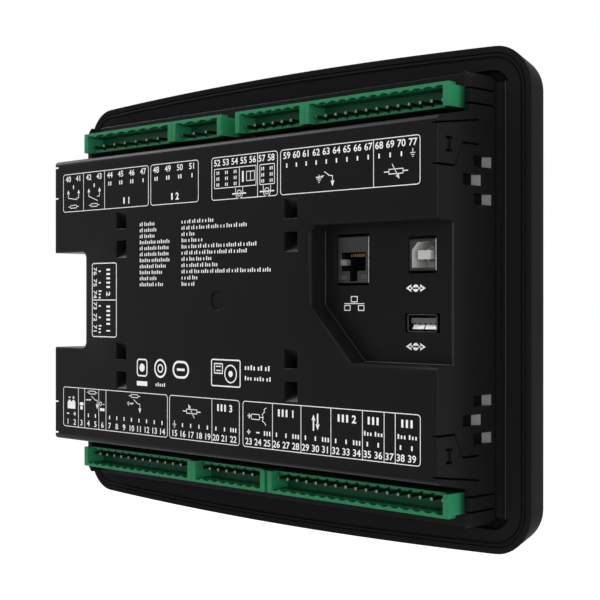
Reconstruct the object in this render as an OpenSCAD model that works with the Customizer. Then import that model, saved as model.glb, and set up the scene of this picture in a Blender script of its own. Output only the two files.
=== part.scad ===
// Panel-mount controller for a generating set: bezel with display and keys in front of the panel,
// black case with terminal rows and data sockets behind it.
// X runs to the right seen from the front, Y runs to the rear, Z runs up.
// The origin is the middle of the plane in which the bezel meets its panel.

/* [Bezel] */
// Width of the bezel
bezel_w = 250.4; // [246:0.2:256]
// Height of the bezel at its middle
bezel_h = 181.9; // [178:0.1:190]
// Fall of the top and bottom edges from the middle to the sides
bezel_bow = 3.05; // [1:0.05:4]
// Corner radius of the bezel
bezel_corner_r = 15.7; // [14.5:0.1:19]
// Depth of the bezel's side up to its rounded front
bezel_side_t = 11; // [10:0.25:12]
// How far the side draws in over that depth
bezel_taper = 3; // [1:0.1:4]
// Depth of the fascia's front in front of the panel
bezel_t = 16; // [15:0.25:18]
// Thickness of the fascia
fascia_t = 2.5; // [2:0.1:3.5]
// Depth of the seat in the bezel for the front rim of the case
case_seat_d = 1.5; // [1:0.1:2.5]
// Width of the shallow channels beside the case
channel_w = 4.5; // [3.5:0.1:5]
// Width of the channel beside the port bay
bay_channel_w = 3.3; // [2:0.1:3.4]
// Depth of these channels
channel_d = 0.7; // [0.4:0.1:1]
// Gap in the flange above and below the case
moat_z = 1.3; // [0.8:0.1:1.8]
// Reach of that gap beside the corners of the case
moat_x = 6.7; // [5.2:0.1:7]
// Height at which that gap ends beside the corners of the case
moat_end = 3.2; // [2:0.1:4]
// Corner radius of that gap
moat_corner_r = 8; // [6:0.5:9]
// Depth of that gap
moat_d = 4; // [2:0.1:5]
// Distance of the pips on the flange from the middle
pip_x = 71; // [60:0.5:80]
// Distance of the pips from the gap
pip_gap = 1.2; // [0.8:0.1:1.6]
// Diameter of a pip
pip_d = 1.2; // [0.6:0.1:1.4]
// Height of a pip
pip_h = 0.25; // [0.1:0.05:0.3]

/* [Panel seal] */
// Distance from the bezel's edge to the seal
seal_inset = 2.3; // [2:0.1:2.8]
// Width of the seal
seal_w = 1.9; // [1.6:0.1:2.4]
// Depth of the seal's groove
seal_d = 2; // [1.5:0.1:3]
// Depth of the seal's flat in front of the panel seat
seal_back = 0.35; // [0.1:0.05:0.5]
// Height of the sealing lip behind the panel seat
seal_lip_h = 0.3; // [0.1:0.05:0.6]
// Width of the sealing lip
seal_lip_w = 0.7; // [0.5:0.1:1.1]

/* [Case] */
// Width of the bezel's flange beside the case
flange_w = 15.45; // [15:0.05:16.5]
// Width of the flange above and below the case
flange_h = 11.95; // [11.5:0.05:13]
// Corner radius of the case
case_corner_r = 5; // [3:0.5:7]
// Wall thickness of the case
wall_t = 2.2; // [1.8:0.1:2.6]
// Level of the ledges that the terminal headers stand through
ledge_y = 8.4; // [7.9:0.1:9.4]
// Thickness of the ledges
ledge_t = 2; // [1.5:0.1:2.4]
// Level of the end walls beside the terminal rows
cheek_y = 13.2; // [10.4:0.1:14.4]
// Gap between those end walls and the rows
cheek_gap = 2.5; // [2:0.1:3]
// Level of the rear plate
rear_y = 31.4; // [30.4:0.2:34.4]
// Thickness of the rear plate
plate_t = 2.2; // [1.8:0.1:2.8]
// Slant of the raised box's top and bottom from the ledges to the rear plate
box_slant = 4.1; // [2:0.1:5]
// Gap between the foot of the raised box and the terminal headers
box_gap = 0.7; // [0.4:0.1:1.2]
// Rounding along the top and bottom of the rear plate
box_edge_r = 2.4; // [1:0.1:3]
// Rounding along the sides of the rear plate
box_side_r = 0.8; // [0.5:0.1:2]
// Diameter of the centre mark on the rear plate
dimple_d = 8; // [5:0.5:12]
// Depth of the centre mark
dimple_depth = 0.5; // [0.3:0.1:1]

/* [Port bay] */
// Level of the bay's floor
bay_floor_y = 23; // [21.4:0.1:24.4]
// Thickness of the bay's floor
bay_floor_t = 2; // [1.5:0.1:2.5]
// Width of the bay from the side of the case
bay_w = 59.75; // [56:0.25:62]
// Top of the bay
bay_top_z = 26.8; // [26:0.1:28]
// Bottom of the bay
bay_bottom_z = -22.1; // [-24:0.1:-20]
// Size of the bay's slanted lower corner
bay_cut = 20; // [12:0.5:22]
// Radius of the bay's upper corner
bay_corner_r = 3; // [2:0.25:5]
// Rounding of the bay's rim
bay_rim_r = 2; // [1:0.1:2.5]

/* [Side notch] */
// Depth of the notch from the side of the case
notch_d = 23.05; // [22:0.05:24]
// Height of the notch
notch_h = 42; // [41:0.5:44]
// Corner radius of the notch
notch_corner_r = 3; // [2:0.25:5]
// Rounding of the notch's rim
notch_rim_r = 0.8; // [0.5:0.1:1.5]

/* [Cable-tie loops] */
// Distance of the left loops from the notch
tie_notch = 25.5; // [20:0.1:30]
// Distance of the right loops from the bay
tie_bay = 9.4; // [8.5:0.1:12]
// Height of the loops above and below the middle
tie_z = 27.7; // [26:0.1:30]
// Width of a loop's slots
tie_w = 7; // [5:0.1:8]
// Radius of the scoop behind a loop's bar
tie_scoop_r = 9.8; // [8.5:0.1:10.4]
// Radius of a loop's bar
tie_bar_r = 2.5; // [2:0.1:3]

/* [Clip slots and spring fingers] */
// Distance of each cluster's middle slot from the edge of the rear plate
clip_edge = 20.4; // [19.5:0.1:21]
// Step from slot to slot
clip_step_z = 6.5; // [6:0.1:7]
// Height of a slot
clip_slot_h = 3.8; // [3:0.1:3.9]
// Depth of a slot
clip_slot_d = 3.2; // [2.5:0.1:3.4]
// Rear end of the outer slots
clip_slot_y = 11.6; // [10.8:0.1:13.4]
// How much further to the rear the middle slot stands
clip_shift_y = 6; // [4:0.1:7]
// Length of the deep part of a slot
clip_deep_l = 4; // [3:0.1:5]
// Length of a slot's ramp
clip_ramp_l = 5.8; // [4:0.1:6.5]
// Thickness of the wall behind a slot
clip_back_t = 1.4; // [1:0.1:2]
// Width of the slits beside a spring finger
slit_w = 0.7; // [0.5:0.05:1]
// Distance of a finger's outer slit from the edge of the rear plate
finger_edge = 2.6; // [2:0.1:3.2]
// Rise of the outer slit from the rear plate to the ledge
finger_rise = 3.1; // [2.6:0.1:3.4]
// Height of a finger's root above the middle slot of its cluster
finger_root = 4.2; // [3.8:0.1:4.6]
// Height of a finger's narrow end above the middle slot
finger_low = 12.3; // [11.5:0.1:13]
// Depth below the rear plate at which the inner slit bends
finger_bend = 9.3; // [8:0.1:10.5]
// Length of that bend
finger_bend_l = 4.3; // [3:0.1:5]
// Distance between the two slits of an end latch
latch_w = 5.2; // [4.4:0.1:6]
// Depth of these slits below the ledge
latch_d = 9; // [7:0.1:9.8]
// Distance of a finger's sunk mark from the edge of the rear plate
mark_edge = 9.2; // [8.6:0.1:9.6]
// Depth of the mark's middle below the rear plate
mark_back = 6.4; // [5:0.1:7]
// Width of the mark
mark_w = 3.7; // [3:0.1:4]
// Height of the mark
mark_h = 5.2; // [4:0.1:6]
// Thickness of the mark's two bars
mark_bar = 0.9; // [0.6:0.1:1.2]
// Depth of the mark
mark_d = 0.6; // [0.3:0.1:1]

/* [Terminal headers] */
// Pitch of the signal headers
signal_pitch = 5.08; // [5:0.01:5.12]
// Pitch of the power headers
power_pitch = 7.62; // [7.5:0.01:7.7]
// Distance from an end pin to the end of its header
header_end = 4.05; // [3.4:0.05:4.1]
// Distance from the ends of the terminal rows to the sides of the case
row_inset = 5.25; // [4.8:0.05:5.6]
// Distance from the headers to the top and bottom of the case
row_outset = 5; // [4.4:0.05:5.4]
// Least gap between the power headers and the signal headers beside them
power_gap = 8; // [7:0.1:8.4]
// Width of a header
header_d = 7.6; // [7.4:0.05:8]
// Level of a header's mouth
mouth_y = 19.06; // [17.4:0.02:21.4]
// Depth of a header's mouth
mouth_d = 8.8; // [7:0.1:9.5]
// Thickness of a header's inner wall
header_wall_t = 1.1; // [0.9:0.05:1.3]
// Thickness of a header's outer wall
header_top_t = 0.8; // [0.7:0.05:1]
// Thickness of a header's end walls
header_end_t = 0.7; // [0.6:0.05:1]
// Depth of the scallops in the rim of a header's outer wall
scallop_d = 0.65; // [0.4:0.05:0.7]
// Width of the ridges between the scallops
scallop_gap = 0.6; // [0.4:0.1:1]
// Length of the scallops from the mouth
scallop_l = 2.8; // [2:0.1:2.9]
// Height of the latching rail along a header's outer side
rail_h = 0.9; // [0.6:0.05:1.2]
// Length of the latching rail from the mouth
rail_l = 4; // [3:0.1:6]
// Width of the coding grooves
code_w = 1.6; // [1:0.1:2]
// Depth of the coding grooves
code_d = 0.55; // [0.3:0.05:0.7]
// Side of a pin's square section
pin_t = 1; // [0.8:0.05:1.2]
// Distance of the pins from a header's inner side
pin_z = 2.7; // [2.4:0.05:3.4]
// Depth of the pin tips behind the mouth
pin_back = 2.1; // [1:0.1:3]
// Gap between the notch and the headers in it
notch_gap = 1.5; // [1:0.1:2.5]
// Ways of the first lower header
ways_a = 14; // [8:1:16]
// Ways of the second lower header
ways_b = 8; // [4:1:10]
// Ways of the first power header
ways_d = 8; // [4:1:10]
// Ways of the second power header
ways_e = 4; // [2:1:6]
// Ways of the upper signal header beside them
ways_f = 7; // [4:1:9]
// Ways of each header in the notch
ways_notch = 3; // [2:1:3]

/* [Data sockets] */
// Distance of the network socket from the side of the case
network_side = 46.05; // [45:0.05:47]
// Middle of the network socket, up
network_z = 14.5; // [13.5:0.1:15]
// Width of the network socket
network_w = 15.6; // [15:0.1:16.4]
// Height of the network socket
network_h = 16.6; // [16:0.1:17]
// Distance of the two other sockets from the side of the case
socket_side = 13.55; // [13:0.05:15]
// Middle of the service socket, up
service_z = 15.6; // [14.5:0.1:16.2]
// Width of the service socket
service_w = 12.1; // [11.5:0.1:12.6]
// Height of the service socket
service_h = 10.9; // [10.5:0.1:11.4]
// Middle of the host socket, up
host_z = -8; // [-10:0.1:-6]
// Width of the host socket
host_w = 13.2; // [12.8:0.1:13.8]
// Height of the host socket
host_h = 6.2; // [5.8:0.1:6.8]
// Gap in the bay's floor above and below the network and service sockets
port_gap_z = 1; // [0.4:0.1:1.4]
// Gap in the bay's floor beside the host socket
port_gap_x = 1.2; // [0.4:0.1:1.6]
// Corner radius of the host socket's shell
host_corner_r = 0.9; // [0.6:0.1:1.2]
// Sheet thickness of the socket shells
shell_t = 0.35; // [0.25:0.05:0.5]
// How far the socket mouths stand behind the bay's floor
socket_back = 0.5; // [0.2:0.1:1.5]
// Width of the network socket's mouth
network_mouth_w = 12; // [11.7:0.1:12.4]
// Height of the network socket's mouth
network_mouth_h = 6.7; // [6:0.1:7]
// Depth of the network socket's mouth
network_mouth_d = 12; // [11:0.1:13]
// Height of the sill under the network socket's mouth
network_sill = 4.3; // [4:0.1:4.6]
// Width of the latch notch in that sill
network_latch_w = 3.8; // [3.4:0.1:4.4]
// Height of the rim left under the latch notch
network_rim = 0.6; // [0.4:0.1:1]
// Width of the lamp windows in the network socket's corners
network_lamp_w = 3.6; // [3:0.1:4]
// Height of the lamp windows
network_lamp_h = 2.3; // [1.8:0.1:2.6]
// Distance of the lamp windows from the sides and the bottom
network_lamp_edge = 1; // [0.6:0.1:1.4]
// Pitch of the network contacts
network_pitch = 1.02; // [1:0.01:1.06]
// Width of a network contact
network_contact_w = 0.4; // [0.3:0.05:0.5]
// Height of a network contact
network_contact_h = 1; // [0.6:0.1:1.2]
// Size of the service socket's cut corners
service_cut = 2.6; // [2:0.1:3]
// Wall thickness of the service socket's insert
service_wall_t = 0.55; // [0.4:0.05:0.8]
// Depth of the service socket's mouth
service_mouth_d = 9; // [8:0.1:10]
// Width of the service socket's tongue
service_tongue_w = 5.6; // [5:0.1:6]
// Height of the service socket's tongue
service_tongue_h = 3.2; // [2.8:0.1:3.4]
// Depth of the host socket's mouth
host_mouth_d = 10; // [9:0.1:11]
// Thickness of the host socket's tongue
host_tongue_t = 1.9; // [1.7:0.05:2.1]
// Gap above the host socket's tongue
host_tongue_gap = 0.8; // [0.6:0.05:1]
// How far the tongues stand behind their mouths
tongue_back = 0.6; // [0.3:0.1:1.2]
// Width of a tongue contact
contact_w = 1; // [0.8:0.05:1.1]
// Thickness of a tongue contact
contact_t = 0.3; // [0.2:0.05:0.4]
// Distance between the service contacts
service_pitch = 2.5; // [2.3:0.1:2.7]
// Distance between the host contacts
host_pitch = 2.4; // [2.2:0.1:2.5]

/* [Boards] */
// Thickness of both boards
board_t = 1.6; // [1:0.1:2]
// Rear face of the main board
board_y = 5.2; // [4.8:0.1:5.7]
// Gap beside the main board
board_gap_x = 3.55; // [3:0.05:4.5]
// Gap above and below the main board
board_gap_z = 1; // [0.5:0.1:1.4]
// Rear face of the display board
panel_board_y = -5.9; // [-6.2:0.1:-4.5]
// Gap beside the display board
panel_gap_x = 3.55; // [2:0.05:5]
// Gap above and below the display board
panel_gap_z = 3.8; // [2:0.1:5]
// Screw thread diameter
screw_d = 2.6; // [2:0.1:3]
// Screw head diameter
screw_head_d = 5.2; // [4.5:0.1:6]
// Screw head height
screw_head_h = 1.8; // [1.4:0.1:2.4]
// Length of a screw below its head
screw_l = 6.4; // [5:0.1:7]
// How much deeper a screw's hole is than its tip
screw_hole_gap = 0.5; // [0.3:0.1:1]
// Diameter of the screw pillars
pillar_d = 6.4; // [5.5:0.1:8]
// Distance of the outer main-board screws from the board's sides
main_screw_side = 12; // [10:0.5:14]
// Offset of the middle main-board screws
main_screw_mid_x = 5; // [3:0.5:7]
// Distance of the main-board screws from the edges of the rear plate
main_screw_edge = 11.6; // [11:0.1:12.4]
// Distance of the outer display-board screws from the board's sides
panel_screw_side = 6; // [5:0.5:7]
// Distance of the display-board screws from the board's top and bottom
panel_screw_edge = 5; // [4:0.5:6]
// Middle of the link between the boards, across
link_x = 50; // [46:0.5:54]
// Middle of the link, up
link_z = -18; // [-21:0.5:-16]
// Width of the link
link_w = 32; // [28:0.5:36]
// Height of the link
link_h = 6; // [5:0.1:7]

/* [Board components] */
// Width of a relay
relay_w = 20; // [18:0.5:22]
// Depth of a relay's base
relay_d = 10; // [9:0.5:10.5]
// Height of a relay
relay_h = 15; // [12:0.5:16]
// Step from relay to relay
relay_step = 24; // [23:0.5:25]
// How far the relays stand below the upper screws
relay_drop = 1; // [0:0.5:2]
// Side of a current sensor
sensor_w = 13; // [11:0.5:14]
// Height of a current sensor
sensor_h = 14; // [12:0.5:15]
// Bore of a current sensor
sensor_bore_d = 5; // [3:0.5:6]
// Middle of the current sensors, across
sensor_x = -32; // [-34:0.5:-30]
// Step from sensor to sensor
sensor_step = 18; // [16:0.5:20]
// How far the current sensors stand below the upper screws
sensor_drop = 2; // [1:0.5:3]
// Diameter of a capacitor
capacitor_d = 10; // [8:0.5:11]
// Height of a capacitor
capacitor_h = 16; // [12:0.5:17]
// Distance of the middle capacitor from the outer screw
capacitor_gap = 26; // [24:0.5:29]
// Step from capacitor to capacitor
capacitor_step = 14; // [12:0.5:15]
// How far the capacitors stand above the lower screws
capacitor_rise = 2; // [1:0.5:4]
// Side of the processor
processor_w = 20; // [16:0.5:24]
// Thickness of the processor
processor_t = 1.6; // [1:0.1:2]
// Middle of the processor, across
processor_x = 10; // [6:0.5:14]

/* [Display] */
// Distance from the overlay's left side to the display window
display_left = 33; // [30:0.5:36]
// Distance from the display window to the overlay's right side
display_right = 61; // [58:0.5:65]
// Distance from the overlay's top to the display window
display_top = 17; // [15:0.5:19]
// Distance from the display window to the overlay's bottom
display_bottom = 65; // [63:0.5:68]
// Overlap of the lens behind the window's edge
lens_overlap = 2; // [1.5:0.1:3]
// Thickness of the lens's rim
lens_rim_t = 0.8; // [0.5:0.1:1.2]
// Thickness of the display glass
glass_t = 2.8; // [2:0.1:3.2]
// Distance from the bezel's sides to the overlay
overlay_side = 19.2; // [18:0.2:21]
// Distance from the bezel's top and bottom to the overlay
overlay_edge = 16.95; // [15:0.05:19]
// Thickness of the overlay
overlay_t = 0.5; // [0.3:0.05:0.8]

/* [Keys] */
// Diameter of the mode keys
mode_key_d = 18; // [15:0.25:20]
// Distance from the outer mode keys to the overlay's sides
mode_key_side = 26; // [24:0.5:30]
// Distance from the mode keys to the overlay's bottom
mode_key_edge = 28; // [25:0.5:30]
// Distance from the navigation keys to the overlay's right side
nav_side = 28; // [26:0.5:30]
// Outer radius of the navigation keys
nav_out_r = 20; // [18:0.25:21]
// Inner radius of the four outer navigation keys
nav_in_r = 8.4; // [8.2:0.1:9.5]
// Gap between neighbouring navigation keys
nav_gap = 3; // [2.8:0.1:4]
// Radius of the enter key
enter_r = 5.4; // [4.5:0.1:5.6]
// How far a key stands proud of the fascia
key_proud = 1; // [0.9:0.1:1.6]
// Travel of a key
key_travel = 0.8; // [0.4:0.05:0.8]
// Thickness of the flange that keeps a key in
key_flange_t = 1.5; // [1:0.1:1.8]
// Overhang of that flange
key_flange_w = 1.1; // [0.8:0.05:1.2]
// Radius of the shallow dish in a key's face
key_dish_r = 80; // [60:5:150]
// Depth of that dish
key_dish_d = 0.45; // [0.3:0.05:0.6]
// Side of a key switch
switch_w = 6; // [4.5:0.1:7]
// Height of a key switch's button
switch_button_h = 1; // [0.5:0.1:1.5]

/* [Indicators] */
// Diameter of an indicator lens
lamp_d = 3.6; // [2.5:0.1:5]
// Thickness of the rim that keeps an indicator lens in
lamp_rim_t = 1; // [0.5:0.1:1.5]
// Overhang of that rim
lamp_rim_w = 1; // [0.6:0.1:1.5]
// Distance from the left column of indicators to the overlay's side
lamp_side = 14; // [11:0.5:18]
// Step from indicator to indicator
lamp_step_z = 13; // [10:0.5:14]
// Height of the row of indicators above the mode keys
lamp_rise = 18; // [16.5:0.5:19]

/* [Fits] */
// Gap around pieces that fit without moving
fit_gap = 0.2; // [0.1:0.05:0.3]
// Gap around the keys
key_gap = 0.3; // [0.25:0.05:0.4]

/* [Hidden] */
$fn = 48;
bow_fn = 2400;
dish_fn = 160;
corner_steps = 12;
bow_steps = 20;
front_steps = 9;
rim_steps = 4;
pocket_steps = 8;
cut = 1;

bow_r = (pow(bezel_w / 2, 2) + pow(bezel_bow, 2)) / (2 * bezel_bow);
bow_cz = bezel_h / 2 - bow_r;
corner_cx = bezel_w / 2 - bezel_corner_r;
corner_cz = bow_cz + sqrt(pow(bow_r - bezel_corner_r, 2) - pow(corner_cx, 2));
corner_angle = atan2(corner_cz - bow_cz, corner_cx);
side_angle = atan2(bezel_taper, bezel_side_t);
front_round_r = (bezel_t - bezel_side_t) / (1 - sin(side_angle));
fascia_in_y = fascia_t - bezel_t;

case_w = bezel_w - 2 * flange_w;
case_h = bezel_h - 2 * flange_h;
inner_w = case_w - 2 * wall_t;
inner_h = case_h - 2 * wall_t;
inner_r = max(case_corner_r - wall_t, 0.5);
row_end_x = case_w / 2 - row_inset;
header_in_z = case_h / 2 - row_outset - header_d;
box_h_root = 2 * (header_in_z - box_gap);
box_h_rear = box_h_root - 2 * box_slant;
box_slope = box_slant / (rear_y - ledge_y);
bay_end_x = bay_w - case_w / 2;
notch_x = case_w / 2 - notch_d;
notch_header_x = notch_x + notch_gap;
tie_left_x = notch_x - tie_notch;
tie_right_x = bay_end_x + tie_bay;
network_x = network_side - case_w / 2;
socket_x = socket_side - case_w / 2;
clip_z = box_h_rear / 2 - clip_edge;
plate_in_y = rear_y - plate_t;
ledge_in_y = ledge_y - ledge_t;
cheek_t = case_w / 2 - row_end_x - cheek_gap;
clip_wall_t = clip_slot_d + clip_back_t;

board_w = inner_w - 2 * board_gap_x;
board_h = inner_h - 2 * board_gap_z;
panel_board_w = inner_w - 2 * panel_gap_x;
panel_board_h = inner_h - 2 * panel_gap_z;
main_screw_x = board_w / 2 - main_screw_side;
main_screw_z = box_h_rear / 2 - main_screw_edge;
panel_screw_x = panel_board_w / 2 - panel_screw_side;
panel_screw_z = panel_board_h / 2 - panel_screw_edge;
relay_x = (main_screw_mid_x + main_screw_x) / 2;
relay_z = main_screw_z - relay_drop;
sensor_z = main_screw_z - sensor_drop;
capacitor_x = main_screw_x - capacitor_gap;
capacitor_z = capacitor_rise - main_screw_z;

overlay_w = bezel_w - 2 * overlay_side;
overlay_h = bezel_h - 2 * overlay_edge;
display_w = overlay_w - display_left - display_right;
display_h = overlay_h - display_top - display_bottom;
display_x = (display_left - display_right) / 2;
display_z = (display_bottom - display_top) / 2;
mode_step_x = (overlay_w - 2 * mode_key_side) / 5;
mode_key_z = mode_key_edge - overlay_h / 2;
nav_x = overlay_w / 2 - nav_side;
nav_z = display_z;
lamp_x = lamp_side - overlay_w / 2;
lamp_row_z = mode_key_z + lamp_rise;

main_pillars = [for (x = [-main_screw_x, main_screw_mid_x, main_screw_x], s = [-1, 1]) [x, s * main_screw_z]];
panel_pillars = [for (x = [-panel_screw_x, 0, panel_screw_x], s = [-1, 1]) [x, s * panel_screw_z]];
ties = [for (x = [tie_left_x, tie_right_x], z = [-tie_z, tie_z]) [x, z]];
mode_keys = [for (i = [0:5]) [(i - 2.5) * mode_step_x, mode_key_z]];
mode_names = ["stop_key", "manual_key", "test_key", "auto_key", "mute_key", "start_key"];
nav_names = ["right_key", "up_key", "left_key", "down_key"];
nav_mid_r = (nav_in_r + nav_out_r) / 2;
nav_spots = [for (i = [0:3]) [nav_x + nav_mid_r * cos(90 * i), nav_z + nav_mid_r * sin(90 * i)]];
switch_spots = concat(mode_keys, nav_spots, [[nav_x, nav_z]]);
lamp_spots = concat(
    [for (i = [0:4]) [lamp_x, display_z + (2 - i) * lamp_step_z]],
    [for (k = mode_keys) [k[0], lamp_row_z]]);

key_front_y = -bezel_t - key_proud;
key_flange_y = fascia_in_y + key_gap;
key_rear_y = key_flange_y + key_flange_t;
panel_front_y = panel_board_y - board_t;
board_front_y = board_y - board_t;
link_y = (panel_board_y + board_front_y) / 2;
lens_rear_y = fascia_in_y + lens_rim_t;
glass_y = lens_rear_y + fit_gap;
socket_y = bay_floor_y - socket_back;

// Terminal headers: name, ways, pitch, start of the header and row, +1 above and -1 below
function header_len(n, pitch) = (n - 1) * pitch + 2 * header_end;
a_end = row_end_x - header_len(ways_a, signal_pitch) - fit_gap;
d_end = row_end_x - header_len(ways_d, power_pitch) - fit_gap;
function ways_in(room) = floor((room - 2 * header_end) / signal_pitch) + 1;
ways_c = ways_in(a_end - header_len(ways_b, signal_pitch) - fit_gap + row_end_x);
c_start = -row_end_x + header_len(ways_c, signal_pitch);
e_end = d_end - header_len(ways_e, power_pitch);
ways_g = ways_in(e_end - power_gap - header_len(ways_f, signal_pitch) - fit_gap + row_end_x);
g_start = -row_end_x + header_len(ways_g, signal_pitch);
f_start = g_start + fit_gap + header_len(ways_f, signal_pitch);
rows = [
    ["a", ways_a, signal_pitch, row_end_x, -1],
    ["b", ways_b, signal_pitch, a_end, -1],
    ["c", ways_c, signal_pitch, c_start, -1],
    ["d", ways_d, power_pitch, row_end_x, 1],
    ["e", ways_e, power_pitch, d_end, 1],
    ["f", ways_f, signal_pitch, f_start, 1],
    ["g", ways_g, signal_pitch, g_start, 1]];
notch_len = header_len(ways_notch, signal_pitch);
sides = [["h", notch_len + fit_gap / 2], ["i", -fit_gap / 2]];

// Flat drawing in X and Z, made solid from level y0 to level y1
module slab(y0, y1) {
    translate([0, y1, 0]) rotate([90, 0, 0]) linear_extrude(y1 - y0) children();
}

// Flat drawing in Y and Z, made solid from x0 to x1
module along_x(x0, x1) {
    translate([x0, 0, 0]) rotate([90, 0, 90]) linear_extrude(x1 - x0) children();
}

// Rectangle with round corners about the middle
module round_rect(w, h, r) {
    square([w - 2 * r, h], center = true);
    square([w, h - 2 * r], center = true);
    for (sx = [-1, 1], sz = [-1, 1]) translate([sx * (w / 2 - r), sz * (h / 2 - r)]) circle(r);
}

// Cylinder along Y at [x, z]
module rod(p, y0, y1, d) {
    translate([p[0], y1, p[1]]) rotate([90, 0, 0]) cylinder(d = d, h = y1 - y0);
}

// Block along Y, w wide and h high about [x, z]
module block(p, y0, y1, w, h) {
    translate([p[0] - w / 2, y0, p[1] - h / 2]) cube([w, y1 - y0, h]);
}

// Solid through rings of points, each ring being [level, points in X and Z]
module loft(rings) {
    n = len(rings[0][1]);
    m = len(rings);
    polyhedron(
        points = [for (r = rings) for (p = r[1]) [p[0], r[0], p[1]]],
        faces = concat(
            [[for (i = [0:n - 1]) i]],
            [for (k = [0:m - 2]) for (i = [0:n - 1])
                [k * n + i, (k + 1) * n + i, (k + 1) * n + (i + 1) % n, k * n + (i + 1) % n]],
            [[for (i = [n - 1:-1:0]) (m - 1) * n + i]]));
}

// Rings of a pocket that widens by the rim's rounding as it reaches the rear plate
function rim_level(k, r) = rear_y - r + r * sin(90 * k / rim_steps);
function rim_grow(k, r) = r * (1 - cos(90 * k / rim_steps));

function arc(c, r, a0, a1, n) = [for (i = [0:n]) let (a = a0 + (a1 - a0) * i / n) c + r * [cos(a), sin(a)]];

// Outline of the bezel, drawn in by the given inset
module bezel_outline(inset) {
    tangent_x = (bow_r - inset) * cos(corner_angle);
    intersection() {
        square([2 * tangent_x, bezel_h], center = true);
        translate([0, bow_cz]) circle(bow_r - inset, $fn = bow_fn);
        translate([0, -bow_cz]) circle(bow_r - inset, $fn = bow_fn);
    }
    square([bezel_w - 2 * inset, 2 * corner_cz], center = true);
    for (sx = [-1, 1], sz = [-1, 1])
        translate([sx * corner_cx, sz * corner_cz]) circle(bezel_corner_r - inset);
}

// Points round the bezel, drawn in by the given inset: corner arcs joined by the bowed edges
function bow_points(side, a0, a1, inset) =
    let (step = (a1 - a0) / bow_steps)
    [for (i = [1:bow_steps - 1])
        [0, side * bow_cz] + (bow_r - inset) * [cos(a0 + i * step), sin(a0 + i * step)]];
function corner_points(sx, sz, a0, inset) =
    arc([sx * corner_cx, sz * corner_cz], bezel_corner_r - inset, a0, a0 + corner_angle, corner_steps);
function bezel_points(inset) = concat(
    corner_points(1, 1, 0, inset),
    bow_points(1, corner_angle, 180 - corner_angle, inset),
    corner_points(-1, 1, 180 - corner_angle, inset),
    corner_points(-1, -1, 180, inset),
    bow_points(-1, 180 + corner_angle, 360 - corner_angle, inset),
    corner_points(1, -1, 360 - corner_angle, inset));

// Bezel as a full block: tapered side, then a rounding to the front
module bezel_block() {
    loft(concat(
        [[0, bezel_points(0)]],
        [for (k = [0:front_steps]) let (a = side_angle + (90 - side_angle) * k / front_steps)
            [-bezel_side_t - front_round_r * (sin(a) - sin(side_angle)),
             bezel_points(bezel_taper + front_round_r * (cos(side_angle) - cos(a)))]]));
}

// Shallow channels in the flange beside the case, narrower beside the port bay
module side_channels() {
    end_z = case_h / 2 - moat_end;
    for (sx = [0, 1]) mirror([sx, 0, 0]) translate([case_w / 2 - cut, -channel_d, 0]) {
        translate([0, 0, -end_z]) cube([bay_channel_w + cut, channel_d + cut, 2 * end_z]);
        translate([0, 0, bay_top_z]) cube([channel_w + cut, channel_d + cut, end_z - bay_top_z]);
        translate([0, 0, -end_z]) cube([channel_w + cut, channel_d + cut, end_z + bay_bottom_z]);
    }
}

// Gap in the flange round the top and bottom of the case
module case_moat() {
    slab(-moat_d, cut) difference() {
        round_rect(case_w + 2 * moat_x, case_h + 2 * moat_z, moat_corner_r);
        square([case_w + 2 * moat_x + cut, case_h - 2 * moat_end], center = true);
        round_rect(case_w, case_h, case_corner_r);
    }
}

// Ring in which the panel seal lies
module seal_ring(grow, y0, y1) {
    slab(y0, y1) difference() {
        bezel_outline(seal_inset - grow);
        bezel_outline(seal_inset + seal_w + grow);
    }
}

// Outline of one of the four outer navigation keys, grown by the given amount
module nav_outline(i, grow) {
    translate([nav_x, nav_z]) rotate(90 * i) intersection() {
        difference() {
            circle(nav_out_r + grow);
            circle(nav_in_r - grow);
        }
        rotate(-45) translate([nav_gap / 2 - grow, nav_gap / 2 - grow]) square(2 * nav_out_r);
    }
}

// Outlines of all keys, grown by the given amount
module key_outlines(grow) {
    for (k = mode_keys) translate(k) circle(d = mode_key_d + 2 * grow);
    for (i = [0:3]) nav_outline(i, grow);
    translate([nav_x, nav_z]) circle(enter_r + grow);
}

module front_bezel() {
    color("#202224") difference() {
        union() {
            difference() {
                bezel_block();
                slab(-case_seat_d, cut) round_rect(case_w + 2 * fit_gap, case_h + 2 * fit_gap, case_corner_r);
                slab(fascia_in_y, cut) round_rect(inner_w, inner_h, inner_r);
                side_channels();
                case_moat();
                seal_ring(fit_gap / 2, -seal_d, cut);
            }
            for (p = panel_pillars) rod(p, fascia_in_y - cut, panel_front_y, pillar_d);
            for (sx = [-1, 1], sz = [-1, 1])
                rod([sx * pip_x, sz * (case_h / 2 + moat_z + pip_gap)], -cut, pip_h, pip_d);
        }
        for (p = panel_pillars) rod(p, panel_board_y - screw_l - screw_hole_gap, cut, screw_d);
        slab(-bezel_t - cut, overlay_t - bezel_t)
            round_rect(overlay_w + 2 * fit_gap, overlay_h + 2 * fit_gap, bezel_corner_r / 2);
        slab(-bezel_t - cut, fascia_in_y + cut) {
            key_outlines(key_gap);
            translate([display_x, display_z]) square([display_w, display_h], center = true);
            for (p = lamp_spots) translate(p) circle(d = lamp_d + 2 * fit_gap);
        }
    }
}

module panel_seal() {
    color("#3a3d40") {
        seal_ring(0, -seal_d, -seal_back);
        slab(-seal_d / 2, seal_lip_h) difference() {
            bezel_outline(seal_inset + (seal_w - seal_lip_w) / 2);
            bezel_outline(seal_inset + (seal_w + seal_lip_w) / 2);
        }
    }
}

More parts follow.
